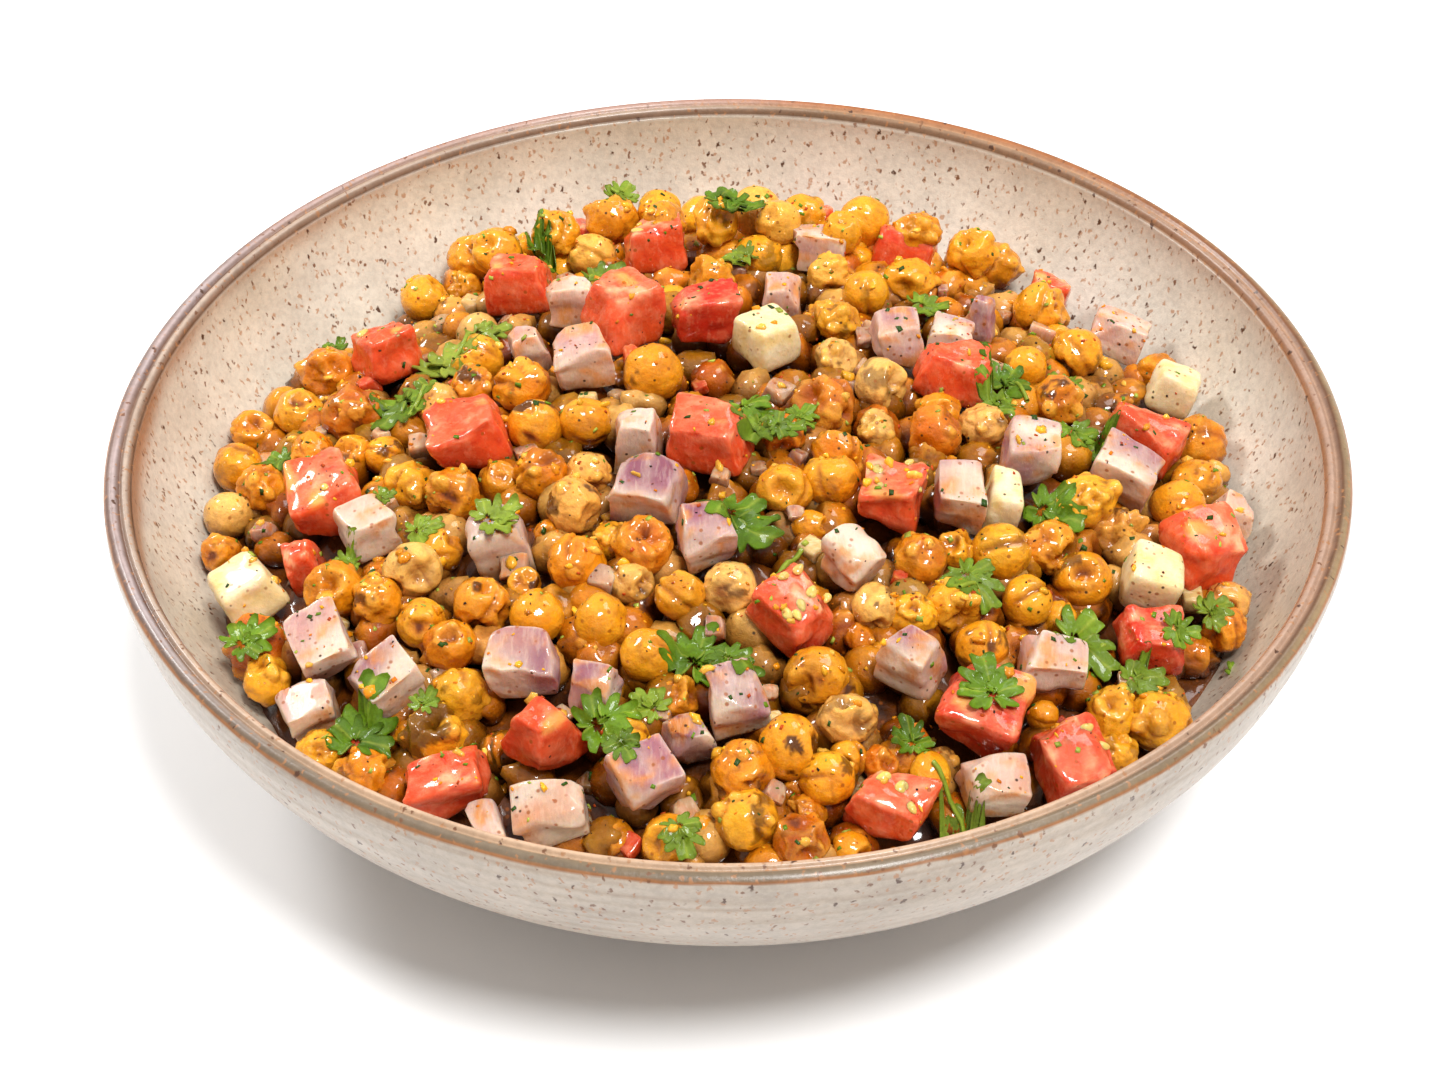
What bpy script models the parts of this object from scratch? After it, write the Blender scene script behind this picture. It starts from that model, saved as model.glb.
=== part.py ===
"""Chana jor garam salad heaped in a hand-thrown stoneware bowl.

Blender works in metres; every size and place below is in millimetres.
The origin is on the floor under the bowl's centre, Z is up and the side
that faces the viewer is -Y.
"""
import itertools
import math

import bmesh
import bpy
import numpy as np
from mathutils import Matrix, Vector
from mathutils.bvhtree import BVHTree

MM = 0.001
SEED = 11

# Bowl: a turned wall that sweeps from a small foot to an upright rim
RIM_R = 105.0
RIM_H = 56.0
WALL_POWER = 1.07
OUTER_FLAT = 32.0
OUTER_DEPTH = 53.9
INNER_R = 100.4
INNER_FLAT = 30.0
INNER_DEPTH = 48.0
FOOT_R = 42.0
FOOT_WIDTH = 6.0
FOOT_RECESS = 1.6
FOOT_TOP = 2.8
FOOT_ROUND = 0.6
FOOT_SLANT = 1.2
TURN_STEPS = 40
WALL_STEPS = 9
# Double bead of the lip: how far out from the inner wall, and how far below the rim
LIP_BEADS = [(0.0, 1.6), (0.5, 0.5), (1.2, 0.2), (1.9, 0.7), (2.6, 0.1), (3.4, 0.0), (4.4, 0.8), (4.6, 2.2)]

# Salad: a bare dome, with chickpeas half sunk in it and chunks on it
DOME_REACH = 94.0
DOME_RISE = 18.0
DOME_EDGE = 33.0
CORE_EDGE_R = 90.4
CORE_STEPS = 3
CORE_INSET = 0.49
CORE_SIDE_DROP = 1.0
GAP = 0.35
WALL_GAP = 0.8
PEA_SINK = 0.55
PEA_SINK_SMALL = 0.25
PEA_SMALL = 3.75
PEA_LOOSE = 0.84
PEA_LEAST = 2.4
PEA_LOW = 0.4
PEA_HIGH = 0.8
HOME_PULL = 0.14
PEA_PUSH = 0.35
CHUNK_PUSH = 0.7
SIGHT_PASSES = 6
PUSH_GAP = 0.45
HOME_FADE = 0.9
SETTLE_PASSES = 160
CHUNK_PASSES = 60
WALL_ANGLES = (0.0, 20.0, 40.0, 60.0)
SPREAD_COUNT = 5
AXIS_LEAST = 0.05
LEVEL_LEAST = 0.4
TINY = 1e-6
FAR = 1e3
BED = {"tomato": 0.4, "onion": 1.0, "potato": 0.4, "bit": -1.6}

# Tomato dice: x, y, width, depth, height, yaw, tip
TOMATOES = [
    (-45, 0, 13.5, 11, 9, 20, 8), (-61.5, 33, 11, 10, 9, 28, 5), (-39, 53, 12, 9.5, 9, -10, 0),
    (-14, 65, 12, 9.5, 9.5, 8, 4), (-18.5, 35, 11.5, 10.5, 11, 38, 6), (-3, 30, 11.5, 10, 9.5, 12, 8),
    (35, 69, 12.5, 9, 8, -6, 0), (39.5, 19, 13, 10, 9.5, -8, 4), (73, 9, 14.5, 9.5, 8.5, -24, 0),
    (30, -18, 11, 12, 9, -14, 6), (-4, -5, 13.5, 10.5, 9.5, -14, 6), (-67.5, -11.5, 13, 12, 9, 14, 6),
    (10, -44, 11.5, 11.5, 9, 40, 8), (81, -18, 12, 12, 9, 24, 4), (69, -40, 11, 10, 8, 5, 0),
    (37, -61, 12.5, 12, 9.5, -16, 6), (50.5, -67, 11.5, 12, 9, 20, 6), (24.5, -77, 11.5, 8.5, 8, -20, 0),
    (-28, -66.5, 11.5, 11.5, 11.5, 42, 8), (-43, -73, 13, 9, 9, 14, 4),
]
# Onion petals, the same way
ONIONS = [
    (18, 65, 11, 8, 7, -10, 0), (-28, 40.5, 9, 8, 8, 0, 4), (-26, 20.5, 11, 9.5, 8, 12, 0),
    (31.5, 28, 10.5, 9.5, 7, 6, 4), (46.5, 38, 7.5, 7, 8.5, -20, 8), (73, 44, 10.5, 8, 7, -20, 4),
    (-61, -15.5, 11, 9.5, 7, 24, 6), (-13.5, -17.5, 12, 9.5, 8, -14, 6), (-3.5, -28, 9.5, 10.5, 8, 12, 4),
    (37, -16, 8.5, 11, 8, -4, 6), (52, -3, 10.5, 10, 8, 0, 0), (68, -4, 11, 9.5, 8, -24, 4),
    (20, -32.5, 8.8, 8.8, 7, 42, 8), (-55, -50, 9.8, 9.8, 7, 36, 8), (-64, -45.5, 10.5, 11.5, 7, 20, 6),
    (-32, -54.5, 11.5, 9, 8, -10, 4), (-21.5, -57, 9, 8, 7, -18, 0), (-0.5, -60.5, 10, 10, 8, 15, 0),
    (-11, -73, 9.5, 9.5, 8, 30, 4), (-27.5, -77, 11, 8.5, 8, 4, 0), (33, -54.5, 11, 9.5, 8, -30, 6),
    (51.5, -50, 11, 9, 7, -4, 6), (41, -69, 10.5, 8, 7, 8, 0),
]
# Potato dice, the same way
POTATOES = [
    (5.5, 27.5, 10.5, 9.5, 8.5, 36, 4), (83, 28, 9.5, 9, 8.5, -14, 0), (-79, -25.5, 11, 12, 8.5, 30, 4),
    (69.5, -30, 9.8, 10, 9, -10, 4),
]
# Small chunks that are one with the heap, the same way
BITS = [
    (-27, 76, 8, 7, 8, 10, 0), (17, 83, 9, 7, 8, 16, 0), (65, 62, 8, 7, 8, -10, 0),
    (-72, -23, 6, 6, 8, 10, 0), (-36, 29, 8, 7, 8, 10, 0), (88, -8, 7.5, 9, 8.5, -10, 0),
    (-71, -54, 9, 7.5, 8, 16, 0), (-6, -66, 7.5, 6.5, 8.5, 20, 0), (-15, -2, 8.5, 8.5, 9.5, 0, 0),
    (-38, -25, 10.5, 9.5, 9.5, 10, 0), (45, -14.5, 6, 10.5, 9, -4, 0), (10, 44, 8, 8, 8, 0, 0),
    (39.5, 31.5, 8, 7, 8.5, -10, 0), (-37, -79, 5, 8, 8, 20, 0),
]
# Chickpeas that show, read off four quarters of the photo at twice its size. A quarter has its left and
# top, then for each chickpea the column, the row and the radius
PEAS = [
    ((380, 340), [
        (545, 180, 55), (470, 258, 48), (412, 243, 32), (550, 238, 35), (213, 383, 32), (290, 402, 54),
        (328, 492, 62), (130, 462, 44), (218, 488, 52), (125, 525, 46), (82, 597, 50), (128, 648, 52),
        (58, 682, 50), (245, 568, 48), (330, 572, 42), (388, 570, 42), (437, 637, 50), (528, 650, 58),
        (615, 612, 42), (702, 608, 56), (692, 515, 56), (675, 430, 58), (612, 372, 50), (790, 505, 50),
        (798, 605, 45), (765, 682, 60), (925, 408, 64), (845, 395, 38), (1020, 75, 50), (1040, 215, 46),
        (965, 262, 36), (722, 140, 34), (630, 165, 34), (803, 172, 48), (497, 470, 46), (565, 437, 44),
    ]),
    ((1380, 340), [
        (338, 95, 42), (365, 165, 46), (440, 225, 52), (278, 215, 42), (352, 248, 48), (243, 300, 38),
        (312, 312, 46), (292, 380, 44), (385, 430, 56), (270, 470, 58), (372, 520, 42), (295, 570, 54),
        (213, 636, 57), (332, 642, 58), (500, 478, 46), (490, 528, 56), (585, 512, 46), (540, 190, 38),
        (628, 192, 50), (705, 260, 56), (775, 368, 54), (730, 335, 36), (893, 358, 42), (905, 405, 42),
        (735, 465, 52), (1067, 543, 56), (1000, 483, 34), (1005, 632, 48), (765, 625, 58), (188, 530, 46),
        (135, 175, 46), (672, 395, 44), (1095, 610, 36),
    ]),
    ((380, 960), [
        (260, 172, 62), (138, 282, 60), (150, 385, 52), (257, 525, 48), (352, 585, 52), (492, 510, 62),
        (508, 415, 58), (522, 330, 54), (465, 288, 54), (365, 242, 57), (452, 178, 58), (508, 145, 44),
        (402, 132, 38), (582, 248, 57), (695, 272, 57), (772, 165, 60), (884, 208, 46), (822, 285, 60),
        (940, 128, 60), (918, 350, 58), (980, 232, 52), (668, 205, 36), (722, 102, 34), (845, 125, 40),
        (808, 585, 54), (945, 698, 56), (1025, 700, 36), (410, 480, 40), (600, 560, 38), (1000, 430, 42),
        (40, 148, 44), (860, 700, 42),
    ]),
    ((1380, 960), [
        (82, 207, 55), (345, 250, 50), (352, 303, 33), (460, 160, 60), (532, 145, 42), (438, 268, 48),
        (530, 250, 56), (622, 145, 58), (720, 133, 56), (785, 200, 58), (676, 243, 54), (585, 335, 54),
        (735, 275, 36), (833, 68, 58), (938, 55, 56), (1060, 228, 46), (1062, 308, 48), (1000, 378, 56),
        (930, 473, 60), (895, 370, 42), (815, 455, 56), (852, 543, 42), (708, 455, 34), (252, 388, 64),
        (180, 500, 64), (69, 560, 64), (315, 478, 58), (320, 560, 40), (297, 612, 58), (205, 583, 46),
        (112, 662, 62), (222, 720, 60), (325, 728, 42), (380, 580, 40), (445, 535, 46), (498, 615, 46),
        (435, 715, 36), (575, 650, 46), (400, 385, 42), (240, 92, 36), (235, 660, 40),
    ]),
]
# View of the photo: the eye, how far it looks down, its roll, and focal length and middle at twice the size
EYE = (-0.65, -350.3, 330.4)
VIEW_PITCH = math.radians(40.79)
VIEW_ROLL = math.radians(-0.31)
VIEW_FOCUS = 5229.0
VIEW_MIDDLE = (1448.0, 1086.0)
# Coriander leaves: x, y, length, yaw, tip
LEAVES = [
    (3, -24, 16, -35, 0), (-5, -49, 13, 80, 4), (1, -54, 11, -60, 0), (-18, -64, 12, 20, 8),
    (40, -60, 13, 95, 0), (-57, -59, 13, 60, 6), (-36, 68, 12, 100, 62), (50, 21, 13, 70, 6),
    (4, 6, 12, -60, 8), (2, 70, 14, 10, 0), (55, -16, 13, -30, 4),
]
# Uneven corners of the dice, bent petals, and balls that are a little out of round
CORNER_DRAW = (0.8, 0.97)
PETAL_REACH = 0.96
PETAL_CORNER = 0.16
PETAL_UNEVEN = 0.08
PETAL_ARCH = (0.45, 0.2)
PETAL_THICK = 1.35
PEA_SQUASH = (0.94, 1.0)
RAY_START = 4.0 * RIM_H
LEAF_LOBES = 5
LEAF_NOTCH = 0.5
LEAF_THICK = 0.6
LEAF_WAVE = 0.07
LEAF_LIFT = 0.45
LEAF_PROBES = (0.0, 0.2, 0.4, 0.6, 0.8, 1.0)


def clear_scene():
    for thing in list(bpy.data.objects):
        bpy.data.objects.remove(thing, do_unlink=True)


def new_collection(name):
    collection = bpy.data.collections.new(name)
    bpy.context.scene.collection.children.link(collection)
    return collection


def new_material(name, colour, roughness):
    material = bpy.data.materials.new(name)
    material.use_nodes = True
    shader = material.node_tree.nodes["Principled BSDF"]
    shader.inputs["Base Color"].default_value = (*colour, 1.0)
    shader.inputs["Roughness"].default_value = roughness
    shader.inputs["Metallic"].default_value = 0.0
    return material


def add_mesh(name, points, faces, material, collection):
    """Mesh object from points in millimetres."""
    mesh = bpy.data.meshes.new(name)
    mesh.from_pydata([Vector(point) * MM for point in points], [], faces)
    mesh.validate()
    thing = bpy.data.objects.new(name, mesh)
    thing.data.materials.append(material)
    collection.objects.link(thing)
    return thing


def apply_modifiers(thing):
    bpy.context.view_layer.update()
    graph = bpy.context.evaluated_depsgraph_get()
    mesh = bpy.data.meshes.new_from_object(thing.evaluated_get(graph))
    thing.modifiers.clear()
    old = thing.data
    thing.data = mesh
    bpy.data.meshes.remove(old)


def turned_solid(name, profile, material, collection):
    """Solid of revolution from a profile in the XZ plane that starts and ends on the axis."""
    points = [(radius, 0.0, height) for radius, height in profile]
    edges = [(index, index + 1) for index in range(len(points) - 1)]
    mesh = bpy.data.meshes.new(name)
    mesh.from_pydata([Vector(point) * MM for point in points], edges, [])
    thing = bpy.data.objects.new(name, mesh)
    thing.data.materials.append(material)
    collection.objects.link(thing)
    screw = thing.modifiers.new("turn", "SCREW")
    screw.axis = "Z"
    screw.steps = TURN_STEPS
    screw.render_steps = TURN_STEPS
    screw.use_merge_vertices = True
    screw.merge_threshold = 0.00001
    apply_modifiers(thing)
    return thing


def wall_curve(reach, flat, depth, turn):
    """Point on a wall curve: turn 0 is at the rim, a quarter turn is at the bottom."""
    radius = flat + (reach - flat) * math.cos(turn) ** WALL_POWER
    return radius, RIM_H - depth * math.sin(turn) ** WALL_POWER


def inner_radius(height):
    """Radius of the bowl's inner wall at a height."""
    sunk = np.clip((RIM_H - np.asarray(height, float)) / INNER_DEPTH, 0.0, 1.0)
    sine = sunk ** (1.0 / WALL_POWER)
    return INNER_FLAT + (INNER_R - INNER_FLAT) * (1.0 - sine ** 2) ** (WALL_POWER / 2.0)


def core_height(x, y):
    """Height of the bare dome under the pieces."""
    return DOME_EDGE + DOME_RISE * (1.0 - (np.square(x) + np.square(y)) / DOME_REACH ** 2)


def bowl_profile():
    """From the middle of the inside, up over the double bead of the lip and down to the foot."""
    quarter = math.pi / 2.0
    inner = [wall_curve(INNER_R, INNER_FLAT, INNER_DEPTH, quarter * step / WALL_STEPS)
             for step in range(WALL_STEPS, 0, -1)]
    lip = [(INNER_R + out, RIM_H - below) for out, below in LIP_BEADS]
    outer = [wall_curve(RIM_R, OUTER_FLAT, OUTER_DEPTH, quarter * step / WALL_STEPS)
             for step in range(1, WALL_STEPS - 1)]
    foot = [
        (FOOT_R, FOOT_TOP), (FOOT_R - FOOT_ROUND, 0.0), (FOOT_R - FOOT_WIDTH, 0.0),
        (FOOT_R - FOOT_WIDTH - FOOT_SLANT, FOOT_RECESS), (0.0, FOOT_RECESS),
    ]
    return [(0.0, RIM_H - INNER_DEPTH)] + inner + lip + outer + foot


def core_profile():
    """From the top of the dome out to the wall, then down beside the wall to the middle."""
    top = [(CORE_EDGE_R * step / CORE_STEPS, float(core_height(CORE_EDGE_R * step / CORE_STEPS, 0.0)))
           for step in range(CORE_STEPS + 1)]
    quarter = math.pi / 2.0
    side = []
    for step in range(1, WALL_STEPS + 1):
        radius, height = wall_curve(INNER_R, INNER_FLAT, INNER_DEPTH, quarter * step / WALL_STEPS)
        if height < top[-1][1] - CORE_SIDE_DROP:
            side.append((radius - CORE_INSET, height + CORE_INSET))
    return top + side + [(0.0, RIM_H - INNER_DEPTH + CORE_INSET)]


def chunk_axes(x, y, yaw, tip):
    """Unit axes, as rows, of a chunk that lies on the slope of the dome."""
    out = math.atan2(y, x)
    lean = math.atan(2.0 * DOME_RISE * math.hypot(x, y) / DOME_REACH ** 2)
    turn = Matrix.Rotation(out, 3, "Z") @ Matrix.Rotation(lean, 3, "Y") @ Matrix.Rotation(-out, 3, "Z")
    turn = turn @ Matrix.Rotation(math.radians(yaw), 3, "Z") @ Matrix.Rotation(math.radians(tip), 3, "X")
    return np.array(turn.transposed())


def lattice(count):
    """Points of an even lattice that fills the cube from -1 to 1."""
    steps = np.linspace(-1.0, 1.0, count)
    return np.array(list(itertools.product(steps, steps, steps)))


class Chunk:
    """A dice or petal inside an oriented box."""

    def __init__(self, kind, row):
        x, y, width, depth, height, yaw, tip = row
        self.kind = kind
        self.axes = chunk_axes(x, y, yaw, tip)
        self.half = np.array([width, depth, height]) / 2.0
        self.centre = np.array([x, y, 0.0], float)
        self.spread = (lattice(SPREAD_COUNT) * self.half) @ self.axes
        self.drop()

    def drop(self):
        """Rest the box on the bare dome, at the bed height of its kind."""
        reach = self.spread + [self.centre[0], self.centre[1], 0.0]
        need = core_height(reach[:, 0], reach[:, 1]) - self.spread[:, 2]
        self.centre[2] = need.max() + BED[self.kind]

    def keep_inside(self):
        """Move the box in from the wall of the bowl."""
        reach = self.spread + self.centre
        distance = np.hypot(reach[:, 0], reach[:, 1])
        over = (distance - inner_radius(reach[:, 2]) + WALL_GAP).max()
        if over > 0.0:
            flat = self.centre[:2]
            self.centre[:2] = flat * (1.0 - over / np.linalg.norm(flat))


def push_apart(first, second):
    """Sideways move that frees the second box from the first, or None when they are clear."""
    apart = second.centre - first.centre
    axes = list(first.axes) + list(second.axes)
    axes += [np.cross(one, two) for one in first.axes for two in second.axes]
    best = None
    for axis in axes:
        length = np.linalg.norm(axis)
        if length < AXIS_LEAST:
            continue
        axis = axis / length
        reach = np.abs(first.axes @ axis) @ first.half + np.abs(second.axes @ axis) @ second.half
        clear = abs(apart @ axis) - reach
        if clear > GAP:
            return None
        flat = np.array([axis[0], axis[1], 0.0])
        level = np.linalg.norm(flat)
        if level < LEVEL_LEAST:
            continue
        way = flat / level * (1.0 if apart @ axis > 0.0 else -1.0)
        step = (GAP - clear) / level
        if best is None or step < best[0]:
            best = (step, way)
    return best[0] * best[1]


def place_chunks():
    """All chunks, moved clear of each other and of the wall."""
    groups = [("tomato", TOMATOES), ("onion", ONIONS), ("potato", POTATOES), ("bit", BITS)]
    chunks = [Chunk(kind, row) for kind, rows in groups for row in rows]
    for _ in range(CHUNK_PASSES):
        for first, second in itertools.combinations(chunks, 2):
            near = np.linalg.norm(first.centre - second.centre)
            if near > np.linalg.norm(first.half) + np.linalg.norm(second.half) + GAP:
                continue
            push = push_apart(first, second)
            if push is not None:
                first.centre = first.centre - 0.5 * push
                second.centre = second.centre + 0.5 * push
                first.drop()
                second.drop()
        for chunk in chunks:
            chunk.keep_inside()
            chunk.drop()
    return chunks


def push_from_chunks(places, radii, chunks, gap):
    """Vectors that free balls from boxes, and how deep each ball still is in a box."""
    move = np.zeros_like(places)
    deepest = np.full(len(places), -np.inf)
    for chunk in chunks:
        local = (places - chunk.centre) @ chunk.axes.T
        nearest = np.clip(local, -chunk.half, chunk.half)
        away = local - nearest
        distance = np.linalg.norm(away, axis=1)
        inside = distance < TINY
        side = np.argmin(np.where([True, True, False], chunk.half - np.abs(local), np.inf), axis=1)
        rows = np.arange(len(places))
        signs = np.where(local[rows, side] < 0.0, -1.0, 1.0)
        away[inside] = 0.0
        away[rows[inside], side[inside]] = signs[inside]
        depth_in = chunk.half[side] - np.abs(local[rows, side])
        overlap = radii + gap - np.where(inside, -depth_in, distance)
        length = np.maximum(np.linalg.norm(away, axis=1), TINY)
        world = (away / length[:, None]) @ chunk.axes
        move += world * np.maximum(overlap, 0.0)[:, None]
        deepest = np.maximum(deepest, overlap)
    return move, deepest


def past_wall(places, radii):
    """How far each ball reaches into the wall of the bowl or the gap beside it."""
    distance = np.hypot(places[:, 0], places[:, 1])
    over = np.full(len(places), -np.inf)
    for angle in np.radians(WALL_ANGLES):
        wall = inner_radius(places[:, 2] - radii * math.sin(angle))
        over = np.maximum(over, distance + radii * math.cos(angle) + WALL_GAP - wall)
    return over


def view_axes():
    """Right, up and back of the view, as rows."""
    turn = Matrix.Rotation(math.pi / 2.0 - VIEW_PITCH, 3, "X") @ Matrix.Rotation(VIEW_ROLL, 3, "Z")
    return np.array(turn.transposed())


def pea_on_dome(column, row, size):
    """Place and radius of a chickpea on the dome that shows at a place of the enlarged photo."""
    sight = np.array([column - VIEW_MIDDLE[0], VIEW_MIDDLE[1] - row, -VIEW_FOCUS]) @ view_axes()
    sight = sight / VIEW_FOCUS
    level = DOME_EDGE
    radius = 0.0
    for _ in range(SIGHT_PASSES):
        reach = (level - EYE[2]) / sight[2]
        place = np.array(EYE) + reach * sight
        radius = size * reach / VIEW_FOCUS
        sink = PEA_SINK if radius > PEA_SMALL else PEA_SINK_SMALL
        level = float(core_height(place[0], place[1])) + sink * radius
    return place, radius


def settle_peas(chunks):
    """Places and radii of the chickpeas, eased off each other, the chunks and the wall."""
    found = [pea_on_dome(left + column, top + row, size)
             for (left, top), rows in PEAS for column, row, size in rows]
    places = np.array([place for place, _ in found])
    radii = np.array([radius for _, radius in found])
    home = places.copy()
    for turn in range(SETTLE_PASSES):
        places += HOME_PULL * (1.0 - HOME_FADE * turn / SETTLE_PASSES) * (home - places)
        apart = places[:, None, :] - places[None, :, :]
        distance = np.linalg.norm(apart, axis=2) + np.eye(len(places)) * FAR
        overlap = np.maximum(PEA_LOOSE * (radii[:, None] + radii[None, :]) - distance, 0.0)
        places += PEA_PUSH * (apart / distance[:, :, None] * overlap[:, :, None]).sum(axis=1)
        move, _ = push_from_chunks(places, radii, chunks, PUSH_GAP)
        places += CHUNK_PUSH * move
        level = core_height(places[:, 0], places[:, 1])
        places[:, 2] = np.clip(places[:, 2], level - PEA_LOW * radii, level + PEA_HIGH * radii)
        over = np.maximum(past_wall(places, radii), 0.0)
        places[:, :2] *= (1.0 - over / np.hypot(places[:, 0], places[:, 1]))[:, None]
    _, deepest = push_from_chunks(places, radii, chunks, GAP)
    radii -= np.maximum(np.maximum(deepest, past_wall(places, radii)), 0.0)
    kept = radii > PEA_LEAST
    return places[kept], radii[kept]


def ball_shape():
    """Eighteen points and thirty-two triangles of a coarse ball of radius 1."""
    shape = bmesh.new()
    corners = [(1, 0, 0), (-1, 0, 0), (0, 1, 0), (0, -1, 0), (0, 0, 1), (0, 0, -1)]
    faces = [(0, 2, 4), (2, 1, 4), (1, 3, 4), (3, 0, 4), (2, 0, 5), (1, 2, 5), (3, 1, 5), (0, 3, 5)]
    made = [shape.verts.new(corner) for corner in corners]
    for face in faces:
        shape.faces.new([made[index] for index in face])
    bmesh.ops.subdivide_edges(shape, edges=shape.edges[:], cuts=1, use_grid_fill=True)
    for point in shape.verts:
        point.co.normalize()
    bmesh.ops.triangulate(shape, faces=shape.faces[:])
    shape.verts.index_update()
    points = np.array([point.co[:] for point in shape.verts])
    triangles = [tuple(point.index for point in face.verts) for face in shape.faces]
    shape.free()
    return points, triangles


def dice_shape(chunk, rng):
    """Box with uneven corners inside the chunk's bounds and one bulging side."""
    corners = np.array(list(itertools.product((-1.0, 1.0), repeat=3)))
    corners = corners * rng.uniform(*CORNER_DRAW, corners.shape)
    bulge = np.array([[0.0, -1.0, 0.0]])
    points = np.vstack([corners, bulge])
    faces = [
        (0, 1, 3, 2), (4, 6, 7, 5), (2, 3, 7, 6), (0, 2, 6, 4), (1, 5, 7, 3),
        (0, 4, 8), (4, 5, 8), (5, 1, 8), (1, 0, 8),
    ]
    return (points * chunk.half) @ chunk.axes + chunk.centre, faces


def petal_shape(chunk, rng):
    """Thick curved layer of onion: a bent plate inside the chunk's bounds."""
    steps = (-1.0, 0.0, 1.0)
    points = []
    for side in (1.0, -1.0):
        for u in steps:
            for v in steps:
                pinch = PETAL_REACH - PETAL_CORNER * abs(u * v) - rng.uniform(0.0, PETAL_UNEVEN)
                arch = 1.0 - PETAL_ARCH[0] * u * u - PETAL_ARCH[1] * v * v
                rise = arch if side > 0.0 else arch - PETAL_THICK
                points.append((u * pinch, v * pinch, rise))
    faces = []
    for i in range(2):
        for j in range(2):
            a, b, c, d = 3 * i + j, 3 * (i + 1) + j, 3 * (i + 1) + j + 1, 3 * i + j + 1
            faces += [(a, b, c), (a, c, d), (a + 9, c + 9, b + 9), (a + 9, d + 9, c + 9)]
    border = [0, 3, 6, 7, 8, 5, 2, 1]
    for here, after in zip(border, border[1:] + border[:1]):
        faces += [(after, here, here + 9), (after, here + 9, after + 9)]
    return (np.array(points) * chunk.half) @ chunk.axes + chunk.centre, faces


def leaf_shape(row, ceiling):
    """Thin wavy leaf with five lobes, laid on the surface that the ceiling function gives."""
    x, y, length, yaw, tip = row
    axes = chunk_axes(x, y, yaw, tip)
    count = 2 * LEAF_LOBES
    flat = [(0.0, 0.0, 0.0)]
    for step in range(count):
        angle = math.tau * step / count
        reach = 0.5 * length * (1.0 if step % 2 == 0 else LEAF_NOTCH)
        wave = LEAF_WAVE * length * math.sin(2.0 * angle + math.radians(yaw))
        flat.append((reach * math.cos(angle), reach * math.sin(angle), wave))
    top = np.array(flat) @ axes
    under = top - LEAF_THICK * axes[2]
    fan = [(0, step + 1, (step + 1) % count + 1) for step in range(count)]
    shares = [(i, j) for i in LEAF_PROBES for j in LEAF_PROBES if i + j <= 1.0]
    probes = [side[a] * (1 - i - j) + side[b] * i + side[c] * j
              for side in (top, under) for a, b, c in fan for i, j in shares]
    height = max(ceiling(x + probe[0], y + probe[1]) - probe[2] for probe in probes) + LEAF_LIFT
    points = np.vstack([top, under]) + [x, y, height]
    size = len(top)
    faces = list(fan) + [(a + size, c + size, b + size) for a, b, c in fan]
    for _, here, after in fan:
        faces += [(after, here, here + size), (after, here + size, after + size)]
    return points, faces


def make_ceiling(solids):
    """Function that gives the top of a set of solids at a place."""
    points = []
    faces = []
    for solid_points, solid_faces in solids:
        start = len(points)
        points += [Vector(point) for point in solid_points]
        faces += [tuple(start + index for index in face) for face in solid_faces]
    tree = BVHTree.FromPolygons(points, faces)

    def ceiling(x, y):
        hit = tree.ray_cast(Vector((x, y, RAY_START)), Vector((0.0, 0.0, -1.0)))
        level = float(core_height(x, y))
        return level if hit[0] is None else max(level, hit[0].z)

    return ceiling


def keep_main_shell(thing):
    """Drop loose scraps and sealed hollows that a union leaves."""
    shape = bmesh.new()
    shape.from_mesh(thing.data)
    shape.verts.ensure_lookup_table()
    unseen = set(shape.verts)
    shells = []
    while unseen:
        queue = [unseen.pop()]
        shell = []
        while queue:
            point = queue.pop()
            shell.append(point)
            for edge in point.link_edges:
                other = edge.other_vert(point)
                if other in unseen:
                    unseen.remove(other)
                    queue.append(other)
        shells.append(shell)
    shells.sort(key=len)
    for shell in shells[:-1]:
        bmesh.ops.delete(shape, geom=shell, context="VERTS")
    bmesh.ops.triangulate(shape, faces=shape.faces[:])
    shape.to_mesh(thing.data)
    shape.free()


def fuse(base, collection):
    """Join every solid of a collection to the base and remove them."""
    union = base.modifiers.new("fuse", "BOOLEAN")
    union.operation = "UNION"
    union.solver = "EXACT"
    union.operand_type = "COLLECTION"
    union.collection = collection
    apply_modifiers(base)
    for thing in list(collection.objects):
        bpy.data.objects.remove(thing, do_unlink=True)
    keep_main_shell(base)


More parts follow.
